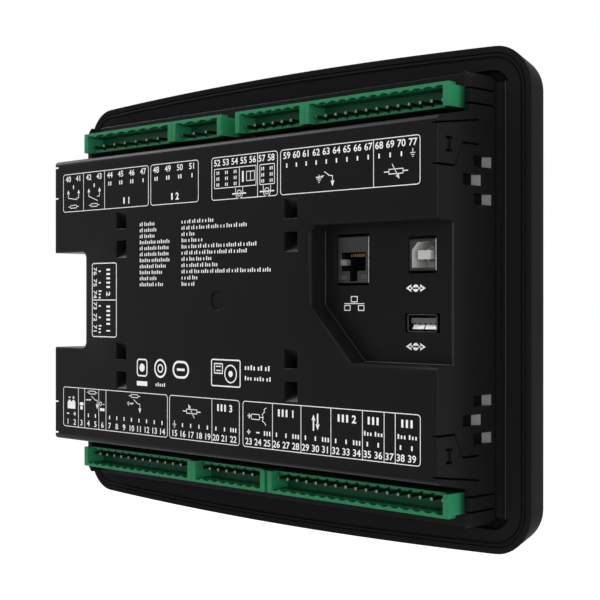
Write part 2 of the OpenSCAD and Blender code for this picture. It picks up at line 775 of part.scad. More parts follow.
module fascia_overlay() {
    color("#2b3034") slab(-bezel_t, overlay_t - bezel_t) difference() {
        round_rect(overlay_w, overlay_h, bezel_corner_r / 2 - fit_gap);
        key_outlines(key_gap);
        translate([display_x, display_z])
            square([display_w - lens_overlap, display_h - lens_overlap], center = true);
        for (p = lamp_spots) translate(p) circle(d = lamp_d + 2 * fit_gap);
    }
}

module display_lens() {
    color("#9fb0b8") translate([display_x, 0, display_z]) {
        slab(overlay_t - bezel_t, lens_rear_y)
            square([display_w - 2 * fit_gap, display_h - 2 * fit_gap], center = true);
        slab(fascia_in_y, lens_rear_y)
            square([display_w + 2 * lens_overlap, display_h + 2 * lens_overlap], center = true);
    }
}

module display_glass() {
    color("#7f8f7a") block([display_x, display_z], glass_y, glass_y + glass_t, display_w, display_h);
}

// Tray that holds the glass over its backlight and stands on the display board
module display_frame() {
    color("#c9ccd0") difference() {
        block([display_x, display_z], glass_y, panel_front_y,
            display_w + 2 * lens_overlap, display_h + 2 * lens_overlap);
        block([display_x, display_z], glass_y - cut, glass_y + glass_t,
            display_w + 2 * fit_gap, display_h + 2 * fit_gap);
    }
}

module display_board() {
    color("#1f6b3a") difference() {
        slab(panel_front_y, panel_board_y) square([panel_board_w, panel_board_h], center = true);
        for (p = panel_pillars) rod(p, panel_front_y - cut, panel_board_y + cut, screw_d + 2 * fit_gap);
    }
}

// Pan-head screw along Y, its head on the given level, pointing to the front or to the rear
module screw(p, y, dir) {
    head = y - dir * screw_head_h;
    tip = y + dir * screw_l;
    rod(p, min(y, head), max(y, head), screw_head_d);
    rod(p, min(y, tip), max(y, tip), screw_d - fit_gap / 2);
}

module display_screws() {
    color("#b8bcc0") for (p = panel_pillars) screw(p, panel_board_y, -1);
}

module key_switches() {
    switch_y = key_rear_y + key_travel + key_gap;
    color("#2e2e2e") for (p = switch_spots) {
        block(p, switch_y + switch_button_h, panel_front_y, switch_w, switch_w);
        rod(p, switch_y, panel_front_y, switch_w / 2);
    }
}

module indicator_lenses() {
    color("#e8f2e8") for (p = lamp_spots) {
        rod(p, -bezel_t - fit_gap, key_rear_y, lamp_d);
        rod(p, fascia_in_y, fascia_in_y + lamp_rim_t, lamp_d + 2 * lamp_rim_w);
    }
}

module indicator_leds() {
    color("#f4f0d8") for (p = lamp_spots) block(p, key_rear_y + key_gap, panel_front_y, lamp_d, lamp_d);
}

module link_header() {
    color("#26282a") block([link_x, link_z], panel_board_y, link_y, link_w, link_h);
}

module link_socket() {
    color("#3a3a34") block([link_x, link_z], link_y, board_front_y, link_w, link_h);
}

module main_board() {
    color("#1f6b3a") difference() {
        slab(board_front_y, board_y) square([board_w, board_h], center = true);
        for (p = main_pillars) rod(p, board_front_y - cut, board_y + cut, screw_d + 2 * fit_gap);
    }
}

module board_screws() {
    color("#b8bcc0") for (p = main_pillars) screw(p, board_front_y, 1);
}

module relays() {
    color("#2d5f9a") for (i = [-1:1])
        block([relay_x + i * relay_step, relay_z], board_y, board_y + relay_h, relay_w, relay_d);
}

module current_sensors() {
    color("#30343a") for (i = [-1:1]) translate([sensor_x + i * sensor_step, 0, sensor_z]) difference() {
        block([0, 0], board_y, board_y + sensor_h, sensor_w, sensor_w);
        rod([0, 0], board_y - cut, board_y + sensor_h + cut, sensor_bore_d);
    }
}

module capacitors() {
    color("#22304a") for (i = [-1:1])
        rod([capacitor_x + i * capacitor_step, capacitor_z], board_y, board_y + capacitor_h, capacitor_d);
}

module processor() {
    color("#1c1c1e") block([processor_x, 0], board_y, board_y + processor_t, processor_w, processor_w);
}

// Section of the raised rear box in Y and Z, walls moved inwards by the given inset
module box_section(y0, y1, inset, r) {
    lean = sqrt(1 + box_slope * box_slope);
    function half(y) = box_h_rear / 2 + (rear_y - y) * box_slope - inset * lean;
    round_z = half(y1) + r * box_slope - r * lean;
    side_y = y1 - r + r * box_slope / lean;
    polygon([
        [y0, half(y0)], [side_y, half(side_y)], [y1, round_z],
        [y1, -round_z], [side_y, -half(side_y)], [y0, -half(y0)]]);
    for (s = [-1, 1]) translate([y1 - r, s * round_z]) circle(r);
}

// Raised rear box, its rear edges rounded
module rear_box() {
    intersection() {
        along_x(-case_w / 2, case_w / 2) box_section(0, rear_y, 0, box_edge_r);
        linear_extrude(2 * box_h_root, center = true) {
            translate([-case_w / 2, -cut]) square([case_w, rear_y - box_side_r + cut]);
            translate([-case_w / 2 + box_side_r, 0]) square([case_w - 2 * box_side_r, rear_y]);
            for (s = [-1, 1]) translate([s * (case_w / 2 - box_side_r), rear_y - box_side_r])
                circle(box_side_r);
        }
    }
}

// Outer form of the case: front part up to the ledges, end walls beside the rows, raised box
module case_body() {
    difference() {
        slab(-case_seat_d, cheek_y) round_rect(case_w, case_h, case_corner_r);
        translate([-case_w / 2 + cheek_t, ledge_y, -case_h])
            cube([case_w - 2 * cheek_t, cheek_y, 2 * case_h]);
    }
    rear_box();
}

// Hollow of the case
module case_hollow() {
    slab(-case_seat_d - cut, ledge_in_y) round_rect(inner_w, inner_h, inner_r);
    along_x(-inner_w / 2, inner_w / 2) box_section(ledge_in_y - cut, plate_in_y, wall_t, box_edge_r / 2);
}

// Points round the bay, open to the right-hand side, grown by the given amount
function bay_points(grow, open_x) = concat(
    [[open_x, bay_bottom_z - grow], [open_x, bay_top_z + grow]],
    arc([bay_end_x - bay_corner_r, bay_top_z - bay_corner_r], bay_corner_r + grow, 90, 0, pocket_steps),
    [[bay_end_x + grow, bay_bottom_z + bay_cut - grow * tan(22.5)],
     [bay_end_x - bay_cut + grow * tan(22.5), bay_bottom_z - grow]]);

module bay_cutter() {
    open_x = -case_w / 2 - cut;
    loft(concat(
        [[bay_floor_y, bay_points(0, open_x)]],
        [for (k = [0:rim_steps]) [rim_level(k, bay_rim_r), bay_points(rim_grow(k, bay_rim_r), open_x)]],
        [[rear_y + cut, bay_points(bay_rim_r, open_x)]]));
}

// Points round the notch, open to the left-hand side, grown by the given amount
function notch_points(grow, open_x) = let (x = notch_x + notch_corner_r, z = notch_h / 2 - notch_corner_r)
    concat(
        [[open_x, notch_h / 2 + grow], [open_x, -notch_h / 2 - grow]],
        arc([x, -z], notch_corner_r + grow, 270, 180, pocket_steps),
        arc([x, z], notch_corner_r + grow, 180, 90, pocket_steps));

module notch_cutter() {
    open_x = case_w / 2 + cut;
    loft(concat(
        [[ledge_y, notch_points(0, open_x)]],
        [for (k = [0:rim_steps]) [rim_level(k, notch_rim_r), notch_points(rim_grow(k, notch_rim_r), open_x)]],
        [[rear_y + cut, notch_points(notch_rim_r, open_x)]]));
}

// Scoop behind a cable-tie bar
module tie_scoop(p, r, w) {
    translate([p[0], rear_y, p[1]]) rotate([0, 90, 0]) cylinder(r = r, h = w, center = true);
}

// Parts of the hollow that stay filled: walls of bay, notch, scoops and slots, and the screw pillars
module case_walls() {
    slab(bay_floor_y - bay_floor_t, rear_y) polygon(bay_points(wall_t, -case_w / 2));
    slab(ledge_in_y - cut, rear_y) polygon(notch_points(wall_t, case_w / 2));
    for (p = ties) tie_scoop(p, tie_scoop_r + wall_t, tie_w + 2 * wall_t);
    for (p = main_pillars) rod(p, board_y, rear_y, pillar_d);
    for (sx = [-1, 1], sz = [-1, 1])
        block([sx * (case_w / 2 - clip_wall_t / 2), sz * clip_z],
            clip_slot_y - clip_deep_l - clip_ramp_l - wall_t, clip_slot_y + clip_shift_y + wall_t,
            clip_wall_t, 2 * clip_step_z + clip_slot_h + 2 * wall_t);
}

// One slot for a fixing clip in the right-hand side: a deep end and a ramp that rises to the front
module clip_slot(y, z) {
    translate([-case_w / 2, 0, z - clip_slot_h / 2]) linear_extrude(clip_slot_h) polygon([
        [-cut, y], [clip_slot_d, y], [clip_slot_d, y - clip_deep_l],
        [0, y - clip_deep_l - clip_ramp_l], [-cut, y - clip_deep_l - clip_ramp_l]]);
}

// Slit through the right-hand side along a path of [level, height] points
module slit(path) {
    n = len(path);
    along_x(-case_w / 2 - cut, -case_w / 2 + wall_t + cut / 2) polygon(concat(
        [for (p = path) [p[0], p[1] + slit_w / 2]],
        [for (i = [n - 1:-1:0]) [path[i][0], path[i][1] - slit_w / 2]]));
}

// Mark sunk in a finger: a stem between two bars
module finger_mark() {
    along_x(-case_w / 2 - cut, -case_w / 2 + mark_d)
        translate([rear_y - mark_back, box_h_rear / 2 - mark_edge]) {
            square([mark_w / 2, mark_h], center = true);
            for (s = [-1, 1]) translate([0, s * (mark_h - mark_bar) / 2])
                square([mark_w, mark_bar], center = true);
        }
}

// Slots, slits and mark of the upper half of the right-hand side
module side_cuts() {
    finger_mark();
    for (i = [-1:1]) clip_slot(clip_slot_y + (i == 0 ? clip_shift_y : 0), clip_z + i * clip_step_z);
    top = box_h_rear / 2 - finger_edge;
    root = clip_z + finger_root;
    low = clip_z + finger_low;
    tip = top + finger_rise;
    slit([[ledge_y, tip], [rear_y + cut, top]]);
    slit([[ledge_y, low], [rear_y - finger_bend - finger_bend_l, low], [rear_y - finger_bend, root],
        [rear_y + cut, root]]);
    latch_z = (header_in_z + case_h / 2 - latch_w) / 2;
    for (s = [-1, 1])
        slit([[ledge_y - latch_d, latch_z + s * latch_w / 2], [cheek_y + cut, latch_z + s * latch_w / 2]]);
}

// Place of a header of a terminal row, or of one of the two in the notch
module in_row(r) {
    translate([r[3], 0, r[4] * header_in_z]) mirror([1, 0, 0]) mirror([0, 0, r[4] > 0 ? 0 : 1]) children();
}

module in_notch(s) {
    translate([notch_header_x, 0, s[1]]) rotate([0, 90, 0]) children();
}

// Room that a header takes in the ledge
module header_room(n, pitch) {
    translate([-fit_gap, board_y, -fit_gap])
        cube([header_len(n, pitch) + 2 * fit_gap, rear_y - board_y, header_d + 2 * fit_gap]);
}

module rear_case() {
    color("#1d1e20") difference() {
        case_body();
        difference() {
            case_hollow();
            case_walls();
        }
        bay_cutter();
        notch_cutter();
        for (p = ties) difference() {
            tie_scoop(p, tie_scoop_r, tie_w);
            tie_scoop(p, tie_bar_r, tie_w + cut);
        }
        rod([0, 0], rear_y - dimple_depth, rear_y + cut, dimple_d);
        for (sx = [0, 1], sz = [0, 1]) mirror([sx, 0, 0]) mirror([0, 0, sz]) side_cuts();
        for (p = main_pillars) rod(p, board_y - cut, board_front_y + screw_l + screw_hole_gap, screw_d);
        for (r = rows) in_row(r) header_room(r[1], r[2]);
        for (s = sides) in_notch(s) header_room(ways_notch, signal_pitch);
        block([network_x, network_z], board_y, rear_y, network_w + 2 * fit_gap, network_h + 2 * port_gap_z);
        block([socket_x, service_z], board_y, rear_y, service_w + 2 * fit_gap, service_h + 2 * port_gap_z);
        block([socket_x, host_z], board_y, rear_y, host_w + 2 * port_gap_x, host_h + 2 * fit_gap);
    }
}

// Radius of a scallop that spans the given pitch but for the ridge
function scallop_r(pitch) = (pow((pitch - scallop_gap) / 2, 2) + pow(scallop_d, 2)) / (2 * scallop_d);

// Header housing along X from its start: mouth to the rear, coding grooves, scallops, latching rail outside
module header_body(n, pitch) {
    l = header_len(n, pitch);
    color("#2f9462") difference() {
        union() {
            translate([0, board_y, 0]) cube([l, mouth_y - board_y, header_d]);
            translate([0, mouth_y - rail_l, header_d - cut]) cube([l, rail_l, rail_h + cut]);
        }
        translate([header_end_t, mouth_y - mouth_d, header_wall_t])
            cube([l - 2 * header_end_t, mouth_d + cut, header_d - header_top_t - header_wall_t]);
        for (i = [0:n - 1]) translate([header_end + i * pitch, 0, 0]) {
            translate([0, mouth_y + cut, header_d - header_top_t + scallop_d - scallop_r(pitch)])
                rotate([90, 0, 0]) cylinder(r = scallop_r(pitch), h = scallop_l + cut);
            translate([-code_w / 2, mouth_y - mouth_d, header_wall_t - code_d])
                cube([code_w, mouth_d + cut, code_d + cut]);
            translate([-pin_t / 2 - fit_gap / 4, board_y - cut, pin_z - pin_t / 2 - fit_gap / 4])
                cube([pin_t + fit_gap / 2, mouth_y - board_y, pin_t + fit_gap / 2]);
        }
    }
}

// Pins of a header, from the main board to their tips in the mouth
module header_pins(n, pitch) {
    color("#d8d4c4") for (i = [0:n - 1])
        translate([header_end + i * pitch - pin_t / 2, board_y, pin_z - pin_t / 2])
            cube([pin_t, mouth_y - pin_back - board_y, pin_t]);
}

// Network socket: shell, insert with its stepped mouth, and contacts
network_mouth_z = network_z - network_h / 2 + network_sill + network_mouth_h / 2;

// Mouth of the network socket and the latch notch under it
module network_mouth(y0, y1) {
    block([network_x, network_mouth_z], y0, y1, network_mouth_w, network_mouth_h);
    latch_h = network_sill - network_rim;
    block([network_x, network_mouth_z - network_mouth_h / 2 - latch_h / 2 + cut / 2], y0, y1,
        network_latch_w, latch_h + cut);
}

module network_shell() {
    window_x = network_w / 2 - network_lamp_edge - network_lamp_w / 2;
    window_z = network_z - network_h / 2 + network_lamp_edge + network_lamp_h / 2;
    color("#b9bcc0") difference() {
        block([network_x, network_z], board_y, socket_y, network_w, network_h);
        block([network_x, network_z], board_y - cut, socket_y - shell_t,
            network_w - 2 * shell_t, network_h - 2 * shell_t);
        network_mouth(socket_y - cut, socket_y + cut);
        for (s = [-1, 1]) block([network_x + s * window_x, window_z], socket_y - cut, socket_y + cut,
            network_lamp_w, network_lamp_h);
    }
}

module network_insert() {
    gap = fit_gap / 2;
    color("#1a1a1c") difference() {
        block([network_x, network_z], board_y, socket_y - shell_t - gap,
            network_w - 2 * shell_t - 2 * gap, network_h - 2 * shell_t - 2 * gap);
        network_mouth(socket_y - network_mouth_d, socket_y + cut);
    }
}

module network_contacts() {
    color("#d9b45a") for (i = [-3.5:1:3.5])
        block([network_x + i * network_pitch, network_mouth_z + network_mouth_h / 2 - network_contact_h],
            socket_y - network_mouth_d, socket_y - network_mouth_d / 4, network_contact_w, network_contact_h);
}

// Service socket: square shell, insert whose mouth has two cut corners, tongue, contacts on the tongue
module service_mouth() {
    w = service_w / 2 - shell_t - fit_gap / 2 - service_wall_t;
    h = service_h / 2 - shell_t - fit_gap / 2 - service_wall_t;
    polygon([[-w, -h], [w, -h], [w, h - service_cut], [w - service_cut, h], [service_cut - w, h],
        [-w, h - service_cut]]);
}

module service_shell() {
    color("#c4c7ca") difference() {
        block([socket_x, service_z], board_y, socket_y, service_w, service_h);
        block([socket_x, service_z], board_y - cut, socket_y + cut,
            service_w - 2 * shell_t, service_h - 2 * shell_t);
    }
}

module service_insert() {
    gap = 2 * shell_t + fit_gap;
    color("#e6e6e2") translate([socket_x, 0, service_z]) {
        difference() {
            block([0, 0], board_y, socket_y - fit_gap, service_w - gap, service_h - gap);
            slab(socket_y - service_mouth_d, socket_y + cut) service_mouth();
        }
        block([0, 0], board_y, socket_y - tongue_back, service_tongue_w, service_tongue_h);
    }
}

module service_contacts() {
    color("#d9b45a") for (sx = [-1, 1], sz = [-1, 1])
        block([socket_x + sx * service_pitch / 2, service_z + sz * (service_tongue_h + contact_t) / 2],
            socket_y - service_mouth_d, socket_y - 2 * tongue_back, contact_w, contact_t);
}

// Host socket: flat shell, insert with its tongue, contacts under the tongue
host_tongue_z = host_z + (host_h - fit_gap - host_tongue_t) / 2 - shell_t - host_tongue_gap;

module host_shell() {
    color("#c4c7ca") translate([socket_x, 0, host_z]) difference() {
        slab(board_y, socket_y + socket_back) round_rect(host_w, host_h, host_corner_r);
        slab(board_y - cut, rear_y)
            round_rect(host_w - 2 * shell_t, host_h - 2 * shell_t, host_corner_r - shell_t);
    }
}

module host_insert() {
    gap = shell_t + fit_gap / 2;
    color("#e6e6e2") {
        translate([socket_x, 0, host_z]) slab(board_y, socket_y - host_mouth_d)
            round_rect(host_w - 2 * gap, host_h - 2 * gap, host_corner_r - shell_t);
        block([socket_x, host_tongue_z], board_y, socket_y - tongue_back,
            host_w - 2 * gap - host_tongue_gap, host_tongue_t);
    }
}

module host_contacts() {
    color("#d9b45a") for (i = [-1.5:1:1.5])
        block([socket_x + i * host_pitch, host_tongue_z - (host_tongue_t + contact_t) / 2],
            socket_y - host_mouth_d, socket_y - 2 * tongue_back, contact_w, contact_t);
}

// Key with its flange behind the fascia and a shallow dish in its face
module key_solid(spot) {
    difference() {
        union() {
            slab(key_front_y, key_flange_y + key_flange_t / 2) children(0);
            slab(key_flange_y, key_rear_y) children(1);
        }
        translate([spot[0], key_front_y - key_dish_r + key_dish_d, spot[1]])
            sphere(key_dish_r, $fn = dish_fn);
    }
}

module mode_key(i) {
    colours = ["#b3261e", "#2b2d30", "#2b2d30", "#2b2d30", "#2b2d30", "#2e8b46"];
    color(colours[i]) key_solid(mode_keys[i]) {
        translate(mode_keys[i]) circle(d = mode_key_d);
        translate(mode_keys[i]) circle(d = mode_key_d + 2 * key_flange_w);
    }
}

module nav_key(i) {
    color("#3a3d41") key_solid(nav_spots[i]) {
        nav_outline(i, 0);
        nav_outline(i, key_flange_w);
    }
}

module enter_key() {
    color("#3a3d41") key_solid([nav_x, nav_z]) {
        translate([nav_x, nav_z]) circle(enter_r);
        translate([nav_x, nav_z]) circle(enter_r + key_flange_w);
    }
}

front_bezel();
panel_seal();
fascia_overlay();
display_lens();
display_glass();
display_frame();
display_board();
display_screws();
key_switches();
indicator_lenses();
indicator_leds();
link_header();
link_socket();
main_board();
board_screws();
relays();
current_sensors();
capacitors();
processor();
rear_case();
network_shell();
network_insert();
network_contacts();
service_shell();
service_insert();
service_contacts();
host_shell();
host_insert();
host_contacts();
enter_key();
for (i = [0:5]) mode_key(i);
for (i = [0:3]) nav_key(i);
for (r = rows) {
    in_row(r) header_body(r[1], r[2]);
    in_row(r) header_pins(r[1], r[2]);
}
for (s = sides) {
    in_notch(s) header_body(ways_notch, signal_pitch);
    in_notch(s) header_pins(ways_notch, signal_pitch);
}
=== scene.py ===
"""Looks of a panel-mount generator controller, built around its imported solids.

Printing is drawn in millimetres, with u to the right and v up as it is read. Other lengths are in metres.
"""

import math
from collections import namedtuple

import bmesh
import bpy
from bpy.props import FloatProperty, FloatVectorProperty, PointerProperty
from mathutils import Matrix, Vector


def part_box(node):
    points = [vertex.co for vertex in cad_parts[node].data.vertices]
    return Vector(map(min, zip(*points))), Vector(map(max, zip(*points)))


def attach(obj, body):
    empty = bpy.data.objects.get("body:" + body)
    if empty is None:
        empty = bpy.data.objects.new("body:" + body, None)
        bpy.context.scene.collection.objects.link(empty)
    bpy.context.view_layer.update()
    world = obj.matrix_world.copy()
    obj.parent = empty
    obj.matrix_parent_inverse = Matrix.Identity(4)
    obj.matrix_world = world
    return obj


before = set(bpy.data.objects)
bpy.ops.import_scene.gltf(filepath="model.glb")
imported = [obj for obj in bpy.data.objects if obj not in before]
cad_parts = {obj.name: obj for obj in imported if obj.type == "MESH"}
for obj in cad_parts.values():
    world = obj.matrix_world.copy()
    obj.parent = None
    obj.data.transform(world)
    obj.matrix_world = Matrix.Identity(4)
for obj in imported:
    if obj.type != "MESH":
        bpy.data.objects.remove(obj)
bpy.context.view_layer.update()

bl_info = {
    "name": "Generator Controller Looks",
    "version": (1, 0, 0),
    "blender": (4, 5, 0),
    "location": "3D View > Sidebar > Controller",
    "description": "Finishes, printing and small parts of a panel-mount generator controller",
    "category": "Object",
}

MM = 0.001
UNIT = "unit"

# Points closer than this are one point when facets are shaded together
WELD_MM = 0.002

# Moulded plastic: size of its clouds, depth of its grain, and how far grain and clouds change the roughness
CLOUD_MM = 30.0
GRAIN_DEPTH_MM = 0.03
GRAIN_SPREAD = 0.12
CLOUD_SPREAD = 0.1

LONG_HEADERS = ("a", "b", "c", "d", "e", "f", "g")
HEADERS = LONG_HEADERS + ("h", "i")
MODE_KEYS = ("stop_key", "manual_key", "test_key", "auto_key", "mute_key", "start_key")
ARROW_KEYS = ("right_key", "up_key", "left_key", "down_key")

# Levels of a row of terminal boxes: lower edge, upper edge, figures, small marks
Row = namedtuple("Row", "low high figures marks")
UPPER = Row(38.9, 55.75, 53.5, 49.8)
LOWER = Row(-56.05, -38.5, -53.75, -50.2)

# Printed box of one header. Each terminal has a mark: a count of ticks, + or -, g for ground
Terminals = namedtuple("Terminals", "row left right dividers figures first step marks")
TERMINALS = (
    Terminals(UPPER, -103.3, -42.8, (-88.1, -72.9), (*range(40, 48),), -99.4, 7.56, "00002221"),
    Terminals(UPPER, -41.5, -11.3, (), (*range(48, 52),), -37.9, 7.54, "2221"),
    Terminals(UPPER, -3.5, 33.7, (22.8,), (*range(52, 59),), -0.2, 5.06, "0000000"),
    Terminals(UPPER, 35.1, 102.4, (81.4,), (*range(59, 71), 77), 38.5, 5.05, "111111111111g"),
    Terminals(
        LOWER, -103.25, -30.5, (-91.9, -87.3, -77.0, -71.9), (*range(1, 15),), -99.7, 5.05, "-+011011111111"
    ),
    Terminals(LOWER, -29.4, 12.75, (-3.3,), (*range(15, 23),), -26.2, 5.05, "g1111113"),
    Terminals(
        LOWER,
        14.5,
        102.5,
        (30.9, 45.9, 61.0, 76.2, 86.25, 91.3),
        (*range(23, 40),),
        17.9,
        5.05,
        "+-311311311311011",
    ),
)

# Tie loops: places across, places up
TIE_LOOPS = ((61.2, -40.6), (-27.7, 27.7))

# Clip slots: distance from the middle, start of the ramp behind the panel
CLIP_SLOTS = ((34.7, 7.6), (41.2, 13.6), (47.7, 7.6))

# Headings in the terminal boxes: middle, letters that ticks stand for, figure
HEADINGS = (
    ((-57.7, 42.0), 1, "1"),
    ((-26.1, 42.0), 1, "2"),
    ((4.0, -42.0), 3, "3"),
    ((38.0, -42.0), 3, "1"),
    ((68.5, -42.0), 3, "2"),
    ((81.2, -42.0), 3, ""),
    ((96.5, -42.0), 3, ""),
)

# Lengths of the words in the ratings: left column, right column
RATINGS = (
    ((2, 6), (1, 1, 2, 2, 2, 1, 1, 3)),
    ((2, 7), (2, 2, 2, 1, 3, 2, 4, 1, 1, 3, 2, 4)),
    ((2, 6), (2, 1, 3)),
    ((9, 7), (3, 1, 3, 1, 1)),
    ((2, 7, 6), (3, 1, 3, 2, 2, 1, 2, 3, 1, 5, 2, 1, 5)),
    ((2, 7, 6), (1, 2, 2, 2, 1, 2, 3, 1, 5, 2, 1, 5)),
    ((6, 10), (2, 1, 3, 3, 1, 3)),
    ((8, 6), (2, 1, 5, 2, 3, 3)),
    ((6, 6), (2, 1, 2, 3, 4, 2, 5, 2, 1, 2, 3, 4, 2, 4)),
    ((5, 4), (1, 1, 2, 3)),
    ((8, 1, 3), (3, 1, 2)),
)


def colour_property(name, description, default):
    return FloatVectorProperty(
        name=name, description=description, subtype="COLOR", size=3, min=0, max=1, default=default
    )


def length_property(name, description, default_mm):
    return FloatProperty(
        name=name, description=description, subtype="DISTANCE", unit="LENGTH", min=0, default=default_mm * MM
    )


def power_property(name, description, default):
    return FloatProperty(name=name, description=description, unit="POWER", min=0, default=default)


class CONTROLLER_PG_colours(bpy.types.PropertyGroup):
    """Colours of the finishes."""

    case: colour_property("Case", "Moulded plastic of the rear case", (0.0072, 0.0072, 0.0074))
    bezel: colour_property("Bezel", "Moulded plastic of the bezel", (0.0105, 0.0105, 0.0107))
    seal: colour_property("Seal", "Rubber of the panel seal", (0.008, 0.008, 0.0083))
    header: colour_property("Header", "Green plastic of the terminal headers", (0.021, 0.19, 0.085))
    pin: colour_property("Pins", "Tinned pins of the headers", (0.18, 0.18, 0.17))
    ink: colour_property("Print", "White printing", (0.86, 0.86, 0.86))
    # Painted reflection: the shells are written far darker than tin, standing in for the dark surroundings
    # they reflect.
    metal: colour_property("Shells", "Tinned sheet of the data sockets", (0.045, 0.045, 0.046))
    board: colour_property("Board", "Solder mask of the boards", (0.012, 0.09, 0.035))
    overlay: colour_property("Overlay", "Film on the fascia", (0.03, 0.033, 0.036))
    stop: colour_property("Stop key", "Red of the stop key", (0.46, 0.02, 0.014))
    start: colour_property("Start key", "Green of the start key", (0.02, 0.25, 0.05))
    screen: colour_property("Screen", "Ground of the display", (0.4, 0.5, 0.42))


class CONTROLLER_PG_sizes(bpy.types.PropertyGroup):
    """Sizes of the printing and the small edges."""

    line: length_property("Line", "Width of the printed lines", 0.28)
    figure: length_property("Figure", "Height of the terminal numbers", 2.45)
    film: length_property("Film", "Thickness of the printing", 0.03)
    edge: length_property("Edge", "Rounding of sharp moulded edges", 0.5)


class CONTROLLER_PG_stage(bpy.types.PropertyGroup):
    """Camera, lamps and floor."""

    camera: FloatVectorProperty(
        name="Camera",
        description="Place of the camera",
        subtype="XYZ",
        unit="LENGTH",
        default=(-0.3857, 0.37392, 0),
    )
    azimuth: FloatProperty(
        name="Azimuth",
        description="Turn of the view from the rear",
        subtype="ANGLE",
        default=math.radians(44.813),
    )
    focal: FloatProperty(
        name="Focal length", description="Lens on a 36 mm sensor", subtype="DISTANCE_CAMERA", default=79.1
    )
    floor: length_property("Floor", "Drop of the floor below the middle of the bezel", 260)
    top: power_property("Top", "Power of the lamp above", 7.0)
    side: power_property("Side", "Power of the lamp up beside the far end", 5.6)
    front: power_property("Front", "Power of the lamp beside the camera", 10.0)
    ambient: FloatProperty(name="Ambient", description="Strength of the light all round", min=0, default=0.45)


def colours():
    return bpy.context.scene.controller_colours


def sizes():
    return bpy.context.scene.controller_sizes


class Value:
    """Socket of a node tree. Arithmetic on it adds Math nodes."""

    def __init__(self, graph, socket):
        self.graph = graph
        self.socket = socket

    def math(self, operation, first, second):
        return self.graph.node("ShaderNodeMath", {"operation": operation}, {0: first, 1: second})

    def __add__(self, other):
        return self.math("ADD", self, other)

    def __radd__(self, other):
        return self.math("ADD", other, self)

    def __sub__(self, other):
        return self.math("SUBTRACT", self, other)

    def __rsub__(self, other):
        return self.math("SUBTRACT", other, self)

    def __mul__(self, other):
        return self.math("MULTIPLY", self, other)

    def __rmul__(self, other):
        return self.math("MULTIPLY", other, self)

    def most(self, other):
        return self.math("MAXIMUM", self, other)


class Graph:
    """Node tree of a material, the surroundings or a modifier."""

    def __init__(self, tree):
        self.tree = tree

    def plug(self, value, socket):
        if isinstance(value, Value):
            self.tree.links.new(value.socket, socket)
        elif socket.type == "RGBA":
            socket.default_value = (*value[:3], 1)
        else:
            socket.default_value = value

    def node(self, kind, settings=None, sockets=None, out=0):
        made = self.tree.nodes.new(kind)
        for key, value in (settings or {}).items():
            setattr(made, key, value)
        for key, value in (sockets or {}).items():
            self.plug(value, made.inputs[key])
        return Value(self, made.outputs[out])

    def mix(self, factor, first, second):
        """Blend of two colours."""
        return self.node("ShaderNodeMix", {"data_type": "RGBA"}, {0: factor, 6: first, 7: second}, 2)

    def seen(self):
        """1 for the rays that show the background: straight, in a reflection or through glass."""
        kinds = ("Camera", "Glossy", "Transmission")
        camera, glossy, glass = (self.node("ShaderNodeLightPath", out=f"Is {kind} Ray") for kind in kinds)
        return camera.most(glossy).most(glass)


class Finish(Graph):
    """Procedural material: a Principled shader whose sockets are set or fed."""

    def __init__(self, name, **constants):
        self.material = bpy.data.materials.new(name)
        self.material.use_nodes = True
        super().__init__(self.material.node_tree)
        self.shader = self.tree.nodes["Principled BSDF"]
        for socket, value in constants.items():
            self.feed(socket.replace("_", " "), value)

    def feed(self, socket, value):
        self.plug(value, self.shader.inputs[socket])

    def place(self):
        return self.node("ShaderNodeTexCoord", out="Object")

    def stretched(self, scale):
        """Place on the object, scaled by a factor for each axis."""
        return self.node("ShaderNodeVectorMath", {"operation": "MULTIPLY"}, {0: self.place(), 1: scale})

    def noise(self, size_mm, detail=2.0, place=None):
        """Cloudy value from 0 to 1 with features of the given size."""
        sockets = {"Vector": place or self.place(), "Scale": 1 / (size_mm * MM), "Detail": detail}
        return self.node("ShaderNodeTexNoise", {}, sockets)

    def relief(self, height, strength, distance_mm, edge_mm=0.0):
        """Bump from a height, over edges rounded by the given radius."""
        sockets = {"Height": height, "Strength": strength, "Distance": distance_mm * MM}
        if edge_mm:
            sockets["Normal"] = self.node("ShaderNodeBevel", {"samples": 4}, {"Radius": edge_mm * MM})
        self.feed("Normal", self.node("ShaderNodeBump", {}, sockets))


def tint(colour, factor):
    return tuple(min(1.0, c * factor) for c in colour)


def moulded(name, colour, roughness, gloss=0.5, grain_mm=0.5, relief=0.1, cloud=0.12, edge_mm=0.25):
    """Moulded plastic: fine spark-eroded grain, slight clouding of colour and gloss."""
    finish = Finish(name, Specular_IOR_Level=gloss)
    grain = finish.noise(grain_mm, 3.0)
    broad = finish.noise(CLOUD_MM, 3.0)
    finish.feed("Base Color", finish.mix(broad, tint(colour, 1 - cloud), tint(colour, 1 + cloud)))
    finish.feed("Roughness", roughness + (grain - 0.5) * GRAIN_SPREAD + (broad - 0.5) * CLOUD_SPREAD)
    finish.relief(grain, relief, GRAIN_DEPTH_MM, edge_mm)
    return finish.material


def plated(name, colour, roughness, streak=(1.0, 1.0, 30.0), edge_mm=0.0):
    """Plated or tinned metal with drawn streaks."""
    finish = Finish(name, Metallic=1.0)
    lines = finish.noise(6.0, 4.0, finish.stretched(streak))
    spots = finish.noise(2.5, 3.0)
    finish.feed("Base Color", finish.mix(spots, tint(colour, 0.86), colour))
    finish.feed("Roughness", roughness + (lines - 0.5) * 0.2)
    finish.relief(lines, 0.06, 0.02, edge_mm)
    return finish.material


def inked(name, colour):
    """Screen-printed ink, slightly uneven."""
    finish = Finish(name, Specular_IOR_Level=0.3)
    speck = finish.noise(0.4, 3.0)
    finish.feed("Base Color", finish.mix(speck, tint(colour, 0.9), tint(colour, 1.06)))
    finish.feed("Roughness", 0.5 + (speck - 0.5) * 0.15)
    return finish.material


